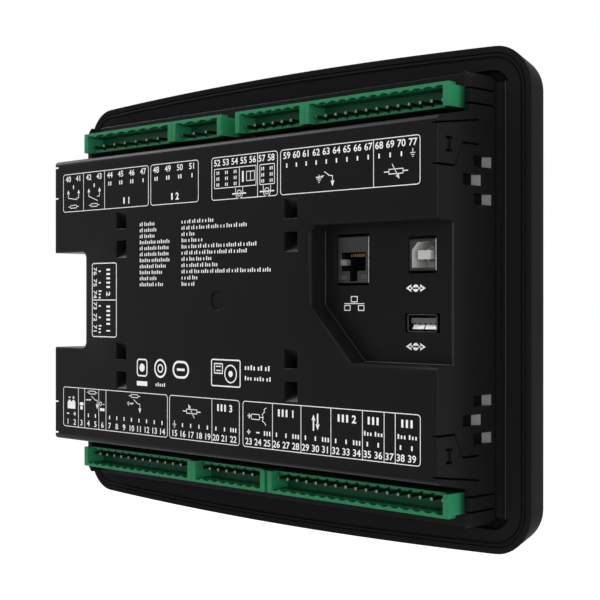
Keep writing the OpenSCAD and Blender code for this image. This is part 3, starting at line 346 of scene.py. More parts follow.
def clear(name, colour, roughness, weight):
    """Clear or tinted plastic with faint ripples."""
    finish = Finish(name, Roughness=roughness, Transmission_Weight=weight, IOR=1.49)
    ripple = finish.noise(8.0)
    finish.feed("Base Color", finish.mix(ripple, tint(colour, 0.96), colour))
    finish.relief(ripple, 0.02, 0.05)
    return finish.material


def paint_node(name, material):
    """Gives a CAD node its material."""
    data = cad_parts[name].data
    data.materials.clear()
    data.materials.append(material)


def smooth_facets(name, angle):
    """Shades the facets of a CAD node as one surface where they meet at less than the given angle."""
    group = bpy.data.node_groups.new(name + "_shading", "GeometryNodeTree")
    for way in ("INPUT", "OUTPUT"):
        group.interface.new_socket("Geometry", in_out=way, socket_type="NodeSocketGeometry")
    graph = Graph(group)
    start = graph.node("NodeGroupInput")
    bare = graph.node("GeometryNodeRemoveAttribute", {}, {"Geometry": start, "Name": "custom_normal"})
    whole = graph.node("GeometryNodeMergeByDistance", {}, {"Geometry": bare, "Distance": WELD_MM * MM})
    smooth = graph.node("GeometryNodeSetShadeSmooth", {}, {"Geometry": whole})
    fold = graph.node("GeometryNodeInputMeshEdgeAngle", out="Unsigned Angle")
    flat = graph.node("FunctionNodeCompare", {"operation": "LESS_THAN"}, {"A": fold, "B": angle})
    sockets = {"Geometry": smooth, "Shade Smooth": flat}
    edges = graph.node("GeometryNodeSetShadeSmooth", {"domain": "EDGE"}, sockets)
    graph.plug(edges, group.nodes.new("NodeGroupOutput").inputs[0])
    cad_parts[name].modifiers.new("Shading", "NODES").node_group = group


def circle(centre, radius, count):
    return arc(centre, radius, 0, math.tau, count)[:-1]


def arc(centre, radius, start, end, steps):
    angles = [start + (end - start) * i / steps for i in range(steps + 1)]
    return [Vector(centre) + radius * Vector((math.cos(a), math.sin(a))) for a in angles]


def round_corners(low, high, radius, steps=5):
    """Points of a rectangle with round corners, anticlockwise."""
    quarter = math.pi / 2
    corners = ((high[0], high[1], 0), (low[0], high[1], 1), (low[0], low[1], 2), (high[0], low[1], 3))
    points = []
    for u, v, k in corners:
        centre = (u - radius if k in (0, 3) else u + radius, v - radius if k in (0, 1) else v + radius)
        points += arc(centre, radius, k * quarter, (k + 1) * quarter, steps)
    return points


def stitch(mesh, loops):
    """Faces between each closed loop and the next."""
    count = len(loops[0])
    for first, second in zip(loops, loops[1:]):
        for i in range(count):
            j = (i + 1) % count
            mesh.faces.new((first[i], first[j], second[j], second[i]))


def loft(mesh, rings):
    """Closed solid through rings of points, with a face on each end."""
    loops = [[mesh.verts.new(point) for point in ring] for ring in rings]
    stitch(mesh, loops)
    mesh.faces.new(loops[0][::-1])
    mesh.faces.new(loops[-1])


def make_piece(name, mesh, material, body=UNIT):
    """Object from a bmesh, with its material, riding on a body."""
    bmesh.ops.recalc_face_normals(mesh, faces=mesh.faces)
    data = bpy.data.meshes.new(name)
    mesh.to_mesh(data)
    mesh.free()
    data.materials.append(material)
    piece = bpy.data.objects.new(name, data)
    bpy.context.scene.collection.objects.link(piece)
    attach(piece, body)
    return piece


def rear_plane(level):
    """Plane that faces the rear at the given level: u runs to -X, v up."""
    return Matrix(((-1, 0, 0, 0), (0, 0, 1, level), (0, 1, 0, 0), (0, 0, 0, 1)))


def front_plane(level, x=0.0, z=0.0):
    """Plane that faces the front at the given level, about a point: u runs to +X, v up."""
    return Matrix(((1, 0, 0, x), (0, 0, -1, level), (0, 1, 0, z), (0, 0, 0, 1)))


def axes(turn):
    """Directions along and up for print that is turned."""
    along = Vector((math.cos(turn), math.sin(turn)))
    return along, Vector((-along.y, along.x))


class Sheet:
    """Printing on a plane: thin closed films."""

    # Figures: their height as a share of the font's size, and how much wider than the font they are
    figure_share = 0.7
    figure_stretch = 1.1

    # Ticks: their width as a share of their step
    tick_share = 0.46

    def __init__(self, plane, sunk_mm=0.0):
        self.plane = plane
        self.low = -sunk_mm * MM
        self.high = sizes().film
        self.line = sizes().line / MM
        self.mesh = bmesh.new()

    def area(self, points):
        """Filled outline."""
        flat = [Vector((u * MM, v * MM, self.low)) for u, v in points]
        rise = Vector((0, 0, self.high - self.low))
        loft(self.mesh, [flat, [p + rise for p in flat]])

    def band(self, outer, inner):
        """Ring between two outlines with as many points."""
        rings = []
        for points, level in ((outer, self.low), (outer, self.high), (inner, self.high), (inner, self.low)):
            rings.append([self.mesh.verts.new((u * MM, v * MM, level)) for u, v in points])
        stitch(self.mesh, rings + rings[:1])

    def path(self, points, width=None):
        """Stroke along straight parts, with mitred corners."""
        half = (width or self.line) / 2
        points = [Vector(p) for p in points]
        heads = [(b - a).normalized() for a, b in zip(points, points[1:])]
        sections = []
        for i, point in enumerate(points):
            before, after = heads[max(i - 1, 0)], heads[min(i, len(heads) - 1)]
            mean = (before + after).normalized()
            side = Vector((-mean.y, mean.x)) * half / max(mean.dot(before), 0.5)
            left, right = (point + side) * MM, (point - side) * MM
            sections.append(
                [(*right, self.low), (*left, self.low), (*left, self.high), (*right, self.high)]
            )
        loft(self.mesh, sections)

    def disc(self, centre, radius, count=20):
        self.area(circle(centre, radius, count))

    def ring(self, centre, radius, width=None, count=28):
        self.band(circle(centre, radius, count), circle(centre, radius - (width or self.line), count))

    def frame(self, low, high, radius, width=None):
        """Outline of a rectangle with round corners."""
        width = width or self.line
        shift = Vector((width, width))
        inner = round_corners(Vector(low) + shift, Vector(high) - shift, max(radius - width, 0.05))
        self.band(round_corners(low, high, radius), inner)

    def arrow(self, tip, heading, length, width):
        """Filled arrow head. The heading points to the tip."""
        ahead = Vector(heading).normalized()
        side = Vector((-ahead.y, ahead.x)) * width / 2
        back = Vector(tip) - ahead * length
        self.area([Vector(tip), back + side, back - side])

    def figures(self, words, centre, height, turn=0.0, bold=0.04):
        """Plain figures, centred."""
        curve = bpy.data.curves.new("figures", "FONT")
        curve.body = words
        curve.size = height * MM / self.figure_share
        curve.align_x = "CENTER"
        curve.offset = bold * MM
        curve.resolution_u = 3
        curve.extrude = (self.high - self.low) / 2
        holder = bpy.data.objects.new("figures", curve)
        data = bpy.data.meshes.new_from_object(holder)
        middle = Matrix.Translation((centre[0] * MM, centre[1] * MM, (self.high + self.low) / 2))
        drop = Matrix.Translation((0, -height * MM / 2, 0))
        widen = Matrix.Diagonal((self.figure_stretch, 1, 1, 1))
        data.transform(middle @ Matrix.Rotation(turn, 4, "Z") @ drop @ widen)
        self.mesh.from_mesh(data)
        bpy.data.objects.remove(holder)
        bpy.data.curves.remove(curve)
        bpy.data.meshes.remove(data)

    def ticks(self, words, start, height, step, turn=0.0, low=0.74):
        """Plain ticks for words of the given lengths, from a start on the base line. Some are low."""
        along, up = axes(turn)
        at = Vector(start) + along * step / 2
        for word in words:
            for letter in range(word):
                tall = height if (letter + word) % 3 == 0 else low * height
                self.path([at, at + up * tall], self.tick_share * step)
                at = at + along * step
            at = at + along * step / 2

    def mid_ticks(self, count, centre, height, step, turn=0.0, low=0.74):
        """Row of ticks about a middle."""
        along, up = axes(turn)
        start = Vector(centre) - along * count * step / 2 - up * height / 2
        self.ticks((count,), start, height, step, turn, low)

    def heading(self, centre, letters, figure, turn=0.0, height=2.7, step=2.05):
        """Ticks and a figure after them, about a middle."""
        along = axes(turn)[0]
        shift = along * step * 0.8 if figure else along * 0
        self.mid_ticks(letters, Vector(centre) - shift, height, step, turn, 1.0)
        if figure:
            self.figures(figure, Vector(centre) + along * step * (letters / 2 + 0.3), height, turn, 0.1)

    def dish(self, radius_mm, depth_mm):
        """Presses the sheet into the hollow face of a key."""
        for vert in self.mesh.verts:
            fall = depth_mm * MM - (vert.co.x**2 + vert.co.y**2) / (2 * radius_mm * MM)
            vert.co.z -= max(fall, 0)

    def finish(self, name, material, slot=None, body=UNIT):
        """Makes the piece, riding on a body."""
        self.mesh.transform(self.plane)
        return make_piece(name, self.mesh, material, body)


class Diagram(Sheet):
    """Printing with plain circuit symbols."""

    def ground(self, at):
        u, v = at
        self.path([(u, v + 1.5), (u, v)])
        for k, half in enumerate((1.1, 0.7, 0.3)):
            self.path([(u - half, v - 0.65 * k), (u + half, v - 0.65 * k)], 0.24)

    def sign(self, at, positive, reach=0.9):
        u, v = at
        self.path([(u - reach, v), (u + reach, v)], 0.5)
        if positive:
            self.path([(u, v - reach), (u, v + reach)], 0.5)

    def fuse(self, at):
        u, v = at
        for s in (-1, 1):
            self.path([(u + s * 3.8, v), (u + s * 2.3, v)])
        self.frame((u - 2.4, v - 0.75), (u + 2.4, v + 0.75), 0.3)

    def resistor(self, at, tail, tip):
        """Variable resistor with an arrow across it."""
        at, tail, tip = Vector(at), Vector(tail), Vector(tip)
        for s in (-1, 1):
            self.path([at + Vector((s * 5.4, 0)), at + Vector((s * 3.2, 0))], 0.35)
        self.frame(at - Vector((3.3, 0.95)), at + Vector((3.3, 0.95)), 0.15)
        self.path([at + tail, at + tip * 0.7])
        self.arrow(at + tip, tip - tail, 1.7, 1.6)

    def contact(self, middle, blade):
        """Two terminals with a blade between them. The blade's tip is given from the middle of the feet."""
        u, v = middle
        for s in (-1, 1):
            self.arrow((u + s * 3.85, v + 3.5), (0, 1), 1.7, 1.8)
        self.path([(u - 3.85, v + 2), (u - 3.85, v), (u + blade[0], v + blade[1])])
        self.path([(u + 3.85, v + 2), (u + 3.85, v - 0.2), (u + 2.0, v - 0.25)])

    def switch(self, foot):
        """Open contact that ends in an arrow. The foot is where the blade turns down."""
        u, v = foot
        self.path([(u - 4.1, v + 1.7), (u - 1.5, v + 0.1), (u, v), (u, v - 2.1)])
        self.arrow((u, v - 3.8), (0, -1), 2.0, 1.8)
        self.path([(u - 8.2, v - 0.2), (u - 5, v)], 0.45)
        self.arrow((u - 4, v + 0.3), (1, 0.3), 1.6, 1.0)

    def transformer(self, at):
        u, v = at
        for s in (-1, 1):
            self.path([(u + s * 2, v + 2.3), (u + s * 2, v)])
        self.path([(u - 3.9, v), (u + 3.9, v)], 0.5)
        for radius in (1.0, 1.9):
            self.path(arc((u, v), radius, math.pi, math.tau, 12))
        self.path(arc((u, v), 1.3, 0, math.pi, 8))


class CONTROLLER_OT_mouldings(bpy.types.Operator):
    """Finishes the bezel, the seal and the rear case"""

    bl_idname = "controller.mouldings"
    bl_label = "Mouldings"

    bezel_fold_deg = 24
    case_fold_deg = 28

    def execute(self, context):
        tones = colours()
        edge_mm = sizes().edge / MM
        paint_node("rear_case", moulded("case_plastic", tones.case, 0.34, gloss=0.045, edge_mm=edge_mm))
        paint_node("front_bezel", moulded("bezel_plastic", tones.bezel, 0.36, gloss=0.003, edge_mm=edge_mm))
        seal = moulded("seal_rubber", tones.seal, 0.5, gloss=0.02, relief=0.06, edge_mm=edge_mm)
        paint_node("panel_seal", seal)
        smooth_facets("front_bezel", math.radians(self.bezel_fold_deg))
        smooth_facets("rear_case", math.radians(self.case_fold_deg))
        return {"FINISHED"}


class CONTROLLER_OT_case_details(bpy.types.Operator):
    """Adds ramps in the tie loops, beads around the port bay, ribs in the moat and painted shade in the
    finger marks
    """

    bl_idname = "controller.case_details"
    bl_label = "Case details"

    tie_half_mm = 3.45
    ramp_mm = ((9.75, -0.1), (6.4, -3.4), (4.4, -6.2), (3.2, -8.8), (9.75, -8.8))
    bay_mm = ((-50.1, 26.9), (-50.1, -1.84), (-69.9, -22.2), (-109.4, -22.2), (-109.4, 26.2))
    bead_mm = 0.5
    rib_mm = (114.5, 76.0)
    rib_radius_mm = 0.34
    sunk_mm = 0.2
    mark_mm = (25.0, 52.4)
    mark_depth_mm = 0.6
    mark_skin_mm = 0.03
    strokes_mm = ((0.92, 2.55, 0.0), (1.8, 0.42, 2.15), (1.8, 0.42, -2.15))

    def execute(self, context):
        case = moulded("detail_plastic", colours().case, 0.34, gloss=0.12, edge_mm=0.0)
        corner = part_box("rear_case")[1]
        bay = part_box("host_shell")[1].y / MM
        make_piece("tie_ramps", self.ramps(corner.y / MM), case)
        make_piece("bay_beads", self.beads(bay - self.sunk_mm), case)
        make_piece("moat_ribs", self.ribs(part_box("front_bezel")[1].y / MM), case)
        # Painted shade: near-black plates in the finger marks' recesses
        dark = moulded("mark_dark", (0.0035, 0.0035, 0.0035), 0.8, gloss=0.05)
        make_piece("finger_marks", self.marks(corner.x / MM - self.mark_depth_mm), dark)
        return {"FINISHED"}

    def ramps(self, plate):
        """Sloped floors under both openings of each tie loop."""
        mesh = bmesh.new()
        for x in TIE_LOOPS[0]:
            for z in TIE_LOOPS[1]:
                for s in (-1, 1):
                    ends = (x - self.tie_half_mm, x + self.tie_half_mm)
                    rings = [[(e, plate + y, z + s * dz) for dz, y in self.ramp_mm] for e in ends]
                    loft(mesh, [[Vector(point) * MM for point in ring] for ring in rings])
        return mesh

    def beads(self, level):
        """Fine beads where the walls of the port bay meet its floor, and along the floor's open edge."""
        mesh = bmesh.new()
        points = [Vector((x, level, z)) for x, z in self.bay_mm]
        for start, end in zip(points, points[1:]):
            self.rod(mesh, start, end, self.bead_mm)
        return mesh

    def ribs(self, level):
        """Upright rib beside each end of the case."""
        mesh = bmesh.new()
        x, reach = self.rib_mm
        for s in (-1, 1):
            foot, top = (Vector((s * x, level - self.sunk_mm, end)) for end in (-reach, reach))
            self.rod(mesh, foot, top, self.rib_radius_mm)
        return mesh

    def rod(self, mesh, start, end, radius):
        ahead = (end - start).normalized()
        side = Vector((0, 1, 0)).cross(ahead)
        section = [side * p.x + Vector((0, p.y, 0)) for p in circle((0, 0), radius, 16)]
        loft(mesh, [[(at + p) * MM for p in section] for at in (start, end)])

    def marks(self, floor):
        """Painted shade: dark strokes on the floor of each finger's mark, a shallow recess where shade falls.
        """
        mesh = bmesh.new()
        y, z = self.mark_mm
        levels = (floor - self.sunk_mm, floor + self.mark_skin_mm)
        for sx in (-1, 1):
            for sz in (-1, 1):
                for half, tall, shift in self.strokes_mm:
                    corners = ((-half, -tall), (half, -tall), (half, tall), (-half, tall))
                    ring = [(y + u, sz * z + shift + v) for u, v in corners]
                    loft(mesh, [[Vector((sx * level, u, v)) * MM for u, v in ring] for level in levels])
        return mesh


class CONTROLLER_OT_headers(bpy.types.Operator):
    """Finishes the terminal headers and their pins, with painted shade deeper in the mouths and along the
    pins, and closes the ends of the long housings
    """

    bl_idname = "controller.headers"
    bl_label = "Terminal headers"

    gloss = 0.13
    grain_mm = 1.2
    relief = 0.03
    edge_mm = 0.16
    end_mm = 2.4
    depth_mm = 9.2
    rail_mm = 0.9
    skin_mm = 0.02
    # Levels behind the panel between which the painted shade in the mouth fades to the plain green
    mouth_mm = (13.0, 18.6)
    # Levels between which the pins' painted shade and green reflection fade to plain tin
    tip_mm = (15.7, 16.4)

    def execute(self, context):
        tone = colours().header
        green = moulded(
            "header_plastic", tone, 0.34, self.gloss, self.grain_mm, self.relief, edge_mm=self.edge_mm
        )
        shaded_green = self.housing_green()
        shaded_tin = self.pin_tin()
        for letter in HEADERS:
            paint_node("header_" + letter, shaded_green)
            paint_node("pins_" + letter, shaded_tin)
        mesh = bmesh.new()
        for letter in LONG_HEADERS:
            self.ends(mesh, *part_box("header_" + letter))
        make_piece("header_ends", mesh, green)
        return {"FINISHED"}

    def along(self, finish, start_mm, end_mm):
        """Value that rises from 0 to 1 between two levels behind the panel."""
        level = finish.node("ShaderNodeSeparateXYZ", {}, {0: finish.place()}, "Y")
        limits = {"Value": level, "From Min": start_mm * MM, "From Max": end_mm * MM}
        return finish.node("ShaderNodeMapRange", {}, limits)

    def housing_green(self):
        """Green plastic with painted shade: darker down in the mouth, where shade falls."""
        finish = Finish("housing_green", Specular_IOR_Level=self.gloss)
        grain = finish.noise(self.grain_mm, 3.0)
        # Painted shade: this mask is 0 deep in the mouth, where the green is darkened, and 1 at the rim
        rim = self.along(finish, *self.mouth_mm)
        finish.feed("Base Color", finish.mix(rim, tint(colours().header, 0.4), colours().header))
        finish.feed("Roughness", 0.3 + grain * 0.1)
        finish.relief(grain, self.relief, GRAIN_DEPTH_MM, self.edge_mm)
        return finish.material

    def pin_tin(self):
        """Tin with painted shade and a painted green reflection: its own colour at the tips, darker and
        taking on the housing's green further in.
        """
        finish = Finish("pin_tin", Metallic=1.0)
        # Painted shade and green reflection: this mask is 0 further in, where the tin takes the darkened
        # green, and 1 at the tips
        tip = self.along(finish, *self.tip_mm)
        finish.feed("Base Color", finish.mix(tip, tint(colours().header, 0.5), colours().pin))
        finish.feed("Roughness", 0.3 + finish.noise(1.5) * 0.16)
        return finish.material

    def ends(self, mesh, low, high):
        """Plain blocks inside both end walls of a housing, short of the latching rail on its outer side."""
        rail = self.rail_mm * MM
        inner, outer = (low.z, high.z - rail) if high.z > 0 else (low.z + rail, high.z)
        skin = self.skin_mm * MM
        foot, top = inner + skin, outer - skin
        thick = self.end_mm * MM
        for left, right in ((low.x - skin, low.x + thick), (high.x - thick, high.x + skin)):
            corners = ((left, foot), (right, foot), (right, top), (left, top))
            back, face = high.y - self.depth_mm * MM, high.y + skin
            loft(mesh, [[(x, y, z) for x, z in corners] for y in (back, face)])


class CONTROLLER_OT_sockets(bpy.types.Operator):
    """Finishes the data sockets and adds their lamp windows, springs and folded edges; the folds and host
    springs are painted highlight white, and the shells' sheet is a painted dark reflection
    """

    bl_idname = "controller.sockets"
    bl_label = "Data sockets"

    fold_mm = 0.34
    fold_sunk_mm = 0.12
    mouth_wall_mm = 0.55
    mouth_cut_mm = 2.6

    # Springs of the host socket: reach across from the middle, section as depth and height
    host_spring_mm = (0.3, 5.3)
    host_section_mm = ((-0.05, 0.57), (-0.3, 1.1), (-0.95, 2.15), (-1.1, 2.0), (-0.5, 0.9), (-0.35, 0.57))

    # Lamp windows: half width and half height, corner, height of the middle, rings as inset and level
    window_mm = (1.7, 1.05)
    window_corner_mm = 0.4
    window_rise_mm = 2.15
    window_rings_mm = ((0, -0.3), (0, -0.05), (0.12, 0.03), (0.4, 0.09))
    window_place_mm = 5.0

    # Earthing spring: line of its bend, half thickness, foot and top
    spring_bend_mm = ((1.5, 0.12), (0.5, 0.14), (0.0, -0.15), (-1.1, -1.6), (-2.0, -3.2))
    spring_half_mm = 0.1
    spring_rise_mm = (6.3, 8.6)
    spring_place_mm = 6.0

    def execute(self, context):
        # The shells' sheet takes that darkened colour, a painted reflection of dark surroundings.
        sheet = plated("shell_metal", colours().metal, 0.3, edge_mm=0.3)
        # Painted highlight: near-white plain plastic on the folds and host springs stands in for the glint of
        # their tinned metal
        painted_highlight = moulded("spring_tin", (0.9, 0.9, 0.9), 0.25, grain_mm=1.5, relief=0.2)
        gold = plated("contact_gold", (0.3, 0.2, 0.07), 0.35)
        white = moulded("insert_white", (0.5, 0.5, 0.49), 0.4, grain_mm=1.0, relief=0.03)
        black = moulded("insert_black", (0.005, 0.005, 0.0055), 0.4, gloss=0.08)
        for name in ("network", "service", "host"):
            paint_node(name + "_shell", sheet)
            paint_node(name + "_contacts", gold)
            paint_node(name + "_insert", black)
        paint_node("service_insert", white)
        paint_node("host_insert", moulded("insert_grey", (0.06, 0.06, 0.06), 0.4))
        low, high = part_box("network_shell")
        middle = (low.x + high.x) / 2
        self.window("lamp_amber", middle + self.window_place_mm * MM, low.z, high.y, (0.03, 0.028, 0.01))
        self.window("lamp_green", middle - self.window_place_mm * MM, low.z, high.y, (0.008, 0.03, 0.008))
        self.spring(middle + self.spring_place_mm * MM, low.z, high.y, sheet)
        self.fold("network", low, high, painted_highlight)
        self.fold("service", *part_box("service_shell"), painted_highlight)
        self.face(sheet)
        self.host_springs(painted_highlight)
        return {"FINISHED"}

    def fold(self, name, low, high, material):
        """Rolled edge along the right of a shell's face, in a painted highlight white."""
        middle = (low.x / MM + self.fold_sunk_mm, high.y / MM - self.fold_sunk_mm)
        outline = circle(middle, self.fold_mm, 12)
        rings = [[(p.x * MM, p.y * MM, z) for p in outline] for z in (low.z, high.z)]
        mesh = bmesh.new()
        loft(mesh, rings)
        make_piece(name + "_fold", mesh, material)

    def face(self, material):
        """Metal face of the service socket, around its mouth with two cut corners."""
        low, high = (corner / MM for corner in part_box("service_insert"))
        left, right = -high.x, -low.x
        cut, wall = self.mouth_cut_mm, self.mouth_wall_mm
        near, far = left + wall, right - wall
        foot, top = low.z + wall, high.z - wall
        outer = [(left, low.z), (right, low.z), (right, top - cut), (right, high.z)]
        outer += [(far - cut, high.z), (near + cut, high.z), (left, high.z), (left, top - cut)]
        inner = [(near, foot), (far, foot), (far, top - cut), (far - cut / 2, top - cut / 2)]
        inner += [(far - cut, top), (near + cut, top), (near + cut / 2, top - cut / 2), (near, top - cut)]
        sheet = Sheet(rear_plane(high.y * MM))
        sheet.band(outer, inner)
        sheet.finish("service_face", material, "shell_metal")

    def host_springs(self, material):
        """Two springs that slope up from the floor of the host socket's mouth, in a painted highlight white.
        """
        low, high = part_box("host_insert")
        middle = (low.x + high.x) / 2
        mesh = bmesh.new()
        for s in (-1, 1):
            rings = []
            for x in self.host_spring_mm:
                across = middle + s * x * MM
                rings.append([(across, high.y + y * MM, low.z + z * MM) for y, z in self.host_section_mm])
            loft(mesh, rings)
        make_piece("host_springs", mesh, material)

    def window(self, name, x, foot, face, colour):
        """Light guide behind a window of the shell, with a crowned face."""
        mesh = bmesh.new()
        rings = []
        centre = foot + self.window_rise_mm * MM
        for inset, level in self.window_rings_mm:
            wide, tall = (side - inset for side in self.window_mm)
            outline = round_corners((-wide, -tall), (wide, tall), self.window_corner_mm - inset / 2)
            rings.append([(x + u * MM, face + level * MM, centre + v * MM) for u, v in outline])
        loft(mesh, rings)
        make_piece("network_" + name, mesh, clear(name, colour, 0.25, 0.4))

    def spring(self, x, foot, face, material):
        """Earthing spring that bends round the left rim of the mouth and in along its wall."""
        points = [Vector(p) for p in self.spring_bend_mm]
        low, high = self.spring_rise_mm
        sections = []
        for i, point in enumerate(points):
            ahead = (points[min(i + 1, len(points) - 1)] - points[max(i - 1, 0)]).normalized()
            side = Vector((-ahead.y, ahead.x)) * self.spring_half_mm
            corners = ((point + side, low), (point + side, high), (point - side, high), (point - side, low))
            sections.append([(x + p.x * MM, face + p.y * MM, foot + rise * MM) for p, rise in corners])
        mesh = bmesh.new()
        loft(mesh, sections)
        make_piece("network_spring", mesh, material)


class CONTROLLER_OT_clip_slots(bpy.types.Operator):
    """Lines the slots for the mounting clips with painted shade and a painted highlight: a dark plate where
    the hole is shaded and a pale plate on the lit part of each ramp
    """

    bl_idname = "controller.clip_slots"
    bl_label = "Clip slots"

    ramp_x_mm = 3.2
    ramp_y_mm = 5.8
    half_mm = 1.88
    # Shares of the ramp's length: the painted shade ends and the painted highlight starts at the first, and
    # the highlight ends at the second
    seat_from = 0.45
    seat_to = 0.99
    skin_mm = 0.04
    sunk_mm = 0.3

    def execute(self, context):
        shade_plates, highlight_plates = bmesh.new(), bmesh.new()
        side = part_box("rear_case")[1].x / MM
        for level, y in CLIP_SLOTS:
            for sx in (-1, 1):
                for sz in (-1, 1):
                    start = Vector((side - self.ramp_x_mm, y, sz * level))
                    self.liner(shade_plates, start, sx, 0.0, self.seat_from)
                    self.liner(highlight_plates, start, sx, self.seat_from, self.seat_to)
        # Painted shade in the holes and a painted highlight on the seats; neither is a colour of the plastic
        make_piece("clip_holes", shade_plates, moulded("hole_dark", (0.0012, 0.0012, 0.0012), 0.8, gloss=0.05))
        make_piece("clip_seats", highlight_plates, moulded("seat_grey", (0.095, 0.095, 0.095), 0.5, gloss=0.3))
        return {"FINISHED"}

    def liner(self, mesh, start, sx, begin, end):
        """Thin plate on the ramp between two shares of its length."""
        ramp = Vector((self.ramp_x_mm, -self.ramp_y_mm, 0))
        out = Vector((self.ramp_y_mm, self.ramp_x_mm, 0)).normalized()
        rings = []
        for rise in (-self.half_mm, self.half_mm):
            up = Vector((0, 0, rise))
            ring = []
            under, over = -self.sunk_mm, self.skin_mm
            for share, lift in ((begin, under), (end, under), (end, over), (begin, over)):
                point = start + ramp * share + out * lift + up
                ring.append((sx * point.x * MM, point.y * MM, point.z * MM))
            rings.append(ring)
        loft(mesh, rings)


class CONTROLLER_OT_insides(bpy.types.Operator):
    """Finishes the boards and what stands on them"""

    bl_idname = "controller.insides"
    bl_label = "Boards and components"

    def execute(self, context):
        tones = colours()
        board = moulded("board_mask", tones.board, 0.35, grain_mm=2.0, relief=0.03, cloud=0.2)
        dark = moulded("component_dark", (0.02, 0.02, 0.021), 0.45)
        steel = plated("screw_steel", (0.62, 0.62, 0.64), 0.3)
        for name in ("main_board", "display_board"):
            paint_node(name, board)
        for name in ("key_switches", "link_header", "link_socket", "current_sensors", "processor"):
            paint_node(name, dark)
        for name in ("display_screws", "board_screws"):
            paint_node(name, steel)
        paint_node("relays", moulded("relay_case", (0.03, 0.12, 0.32), 0.3))
        paint_node("capacitors", moulded("capacitor_sleeve", (0.02, 0.04, 0.1), 0.25))
        paint_node("indicator_leds", moulded("lamp_body", (0.7, 0.68, 0.55), 0.4))
        paint_node("display_frame", moulded("frame_white", (0.65, 0.66, 0.67), 0.45))
        return {"FINISHED"}


class CONTROLLER_OT_terminal_print(bpy.types.Operator):
    """Prints the terminal boxes on the rear plate"""

    bl_idname = "controller.terminal_print"
    bl_label = "Terminal print"

    def execute(self, context):
        plane = rear_plane(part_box("rear_case")[1].y)
        ink = inked("print_white", colours().ink)
        figure = sizes().figure / MM
        lines, figures, symbols = Sheet(plane), Sheet(plane), Diagram(plane)
        for box in TERMINALS:
            row = box.row
            lines.frame((box.left, row.low), (box.right, row.high), 1.4)
            for u in box.dividers:
                lines.path([(u, row.low + lines.line), (u, row.high - lines.line)])
            for i, (number, mark) in enumerate(zip(box.figures, box.marks)):
                u = box.first + i * box.step
                figures.figures(str(number), (u, row.figures), figure)
                if mark in "+-":
                    symbols.sign((u, row.marks), mark == "+")
                elif mark == "g":
                    symbols.ground((u, row.marks))
                elif mark != "0":
                    symbols.mid_ticks(int(mark), (u, row.marks), 1.7, 1.4, low=0.95)
        for centre, letters, number in HEADINGS:
            figures.heading(centre, letters, number)
        self.upper_symbols(symbols)
        self.lower_symbols(symbols)
        lines.finish("terminal_frames", ink)
        figures.finish("terminal_figures", ink)
        symbols.finish("terminal_symbols", ink)
        return {"FINISHED"}

    def upper_symbols(self, ink):
        for u, blade in ((-95.55, (2.6, -0.9)), (-80.35, (2.6, -2.1))):
            ink.mid_ticks(1, (u, UPPER.marks), 1.7, 1.4, low=0.95)
            ink.contact((u, 45.1), blade)
            ink.fuse((u, 41.2))
        tables = ((-1.9, 22.1, 12.6, (0.2, 5.2, 10.2)), (23.9, 32.1, None, (25.6, 30.2)))
        for left, right, divider, columns in tables:
            ink.frame((left, 43.4), (right, 51.2), 0.4)
            if divider:
                ink.path([(divider, 43.6), (divider, 51.0)])
            for u in columns:
                for v in (49.5, 47.2, 44.9):
                    ink.mid_ticks(2, (u, v), 1.3, 1.0, low=0.95)
        for u in (12.5, 27.9):
            ink.transformer((u, 40.9))
        ink.path([(14.6, 49.4), (14.6, 45.2)], 0.9)
        ink.frame((16.5, 45.4), (21.2, 49.2), 0.3)
        ink.path([(18.85, 45.6), (18.85, 49.0)])
        ink.switch((61.8, 44.5))
        ink.ground((55.1, 43.7))
        ink.resistor((91.6, 44.0), (-1.7, 2.6), (1.5, -2.6))

    def lower_symbols(self, ink):
        ink.area([(-99.9, -48), (-94.25, -48), (-94.25, -44.8), (-99.9, -44.8)])
        for u in (-98.5, -95.6):
            ink.area([(u - 0.8, -44.9), (u + 0.8, -44.9), (u + 0.8, -44.2), (u - 0.8, -44.2)])
            ink.sign((u, -43.1), u > -97, 0.75)
        ink.area([Vector((-89.5, -45.5)) + Vector((p.x * 2, p.y)) for p in circle((0, 0), 0.75, 20)])
        ink.path([(-89.6, -46.5), (-89.6, -48)], 1.7)
        for u in (-81.8, -52.2):
            ink.fuse((u, -40.2))
            ink.switch((u + 3.6, -43.4))
        ink.sign((-56.3, -43.5), True, 0.8)
        ink.ring((-75.7, -44.7), 0.9)
        ink.path([(-74.2, -44.9), (-72.9, -44.9)])
        ink.path([(-76.2, -47.2), (-73.0, -47.2)], 1.2)
        ink.resistor((-15.5, -44.5), (1.6, -2.5), (-2.1, 2.8))
        ink.sign((18.2, -44.1), True, 0.9)
        ink.frame((19.2, -45.4), (24.0, -43.2), 0.5)
        ink.path([(24.0, -44.3), (25.7, -44.3)])
        cable = [(27.6, -40.6), (26.4, -41.2), (26.5, -42.3), (25.3, -43.1)]
        cable += [(25.9, -44.3), (25.4, -45.6), (26.6, -46.2), (27.3, -47.2)]
        ink.path(cable)
        for u, low, high, ahead in ((52.3, -47.4, -41.5, 1), (54.4, -41.1, -47.0, -1)):
            ink.path([(u, low), (u, high - ahead * 1.8)], 0.7)
            ink.arrow((u, high), (0, ahead), 2.1, 1.9)
        for u in (81.2, 96.6):
            for s in (-1, 1):
                ink.mid_ticks(3, (u + s * 2.5, -46.5), 1.6, 1.4)


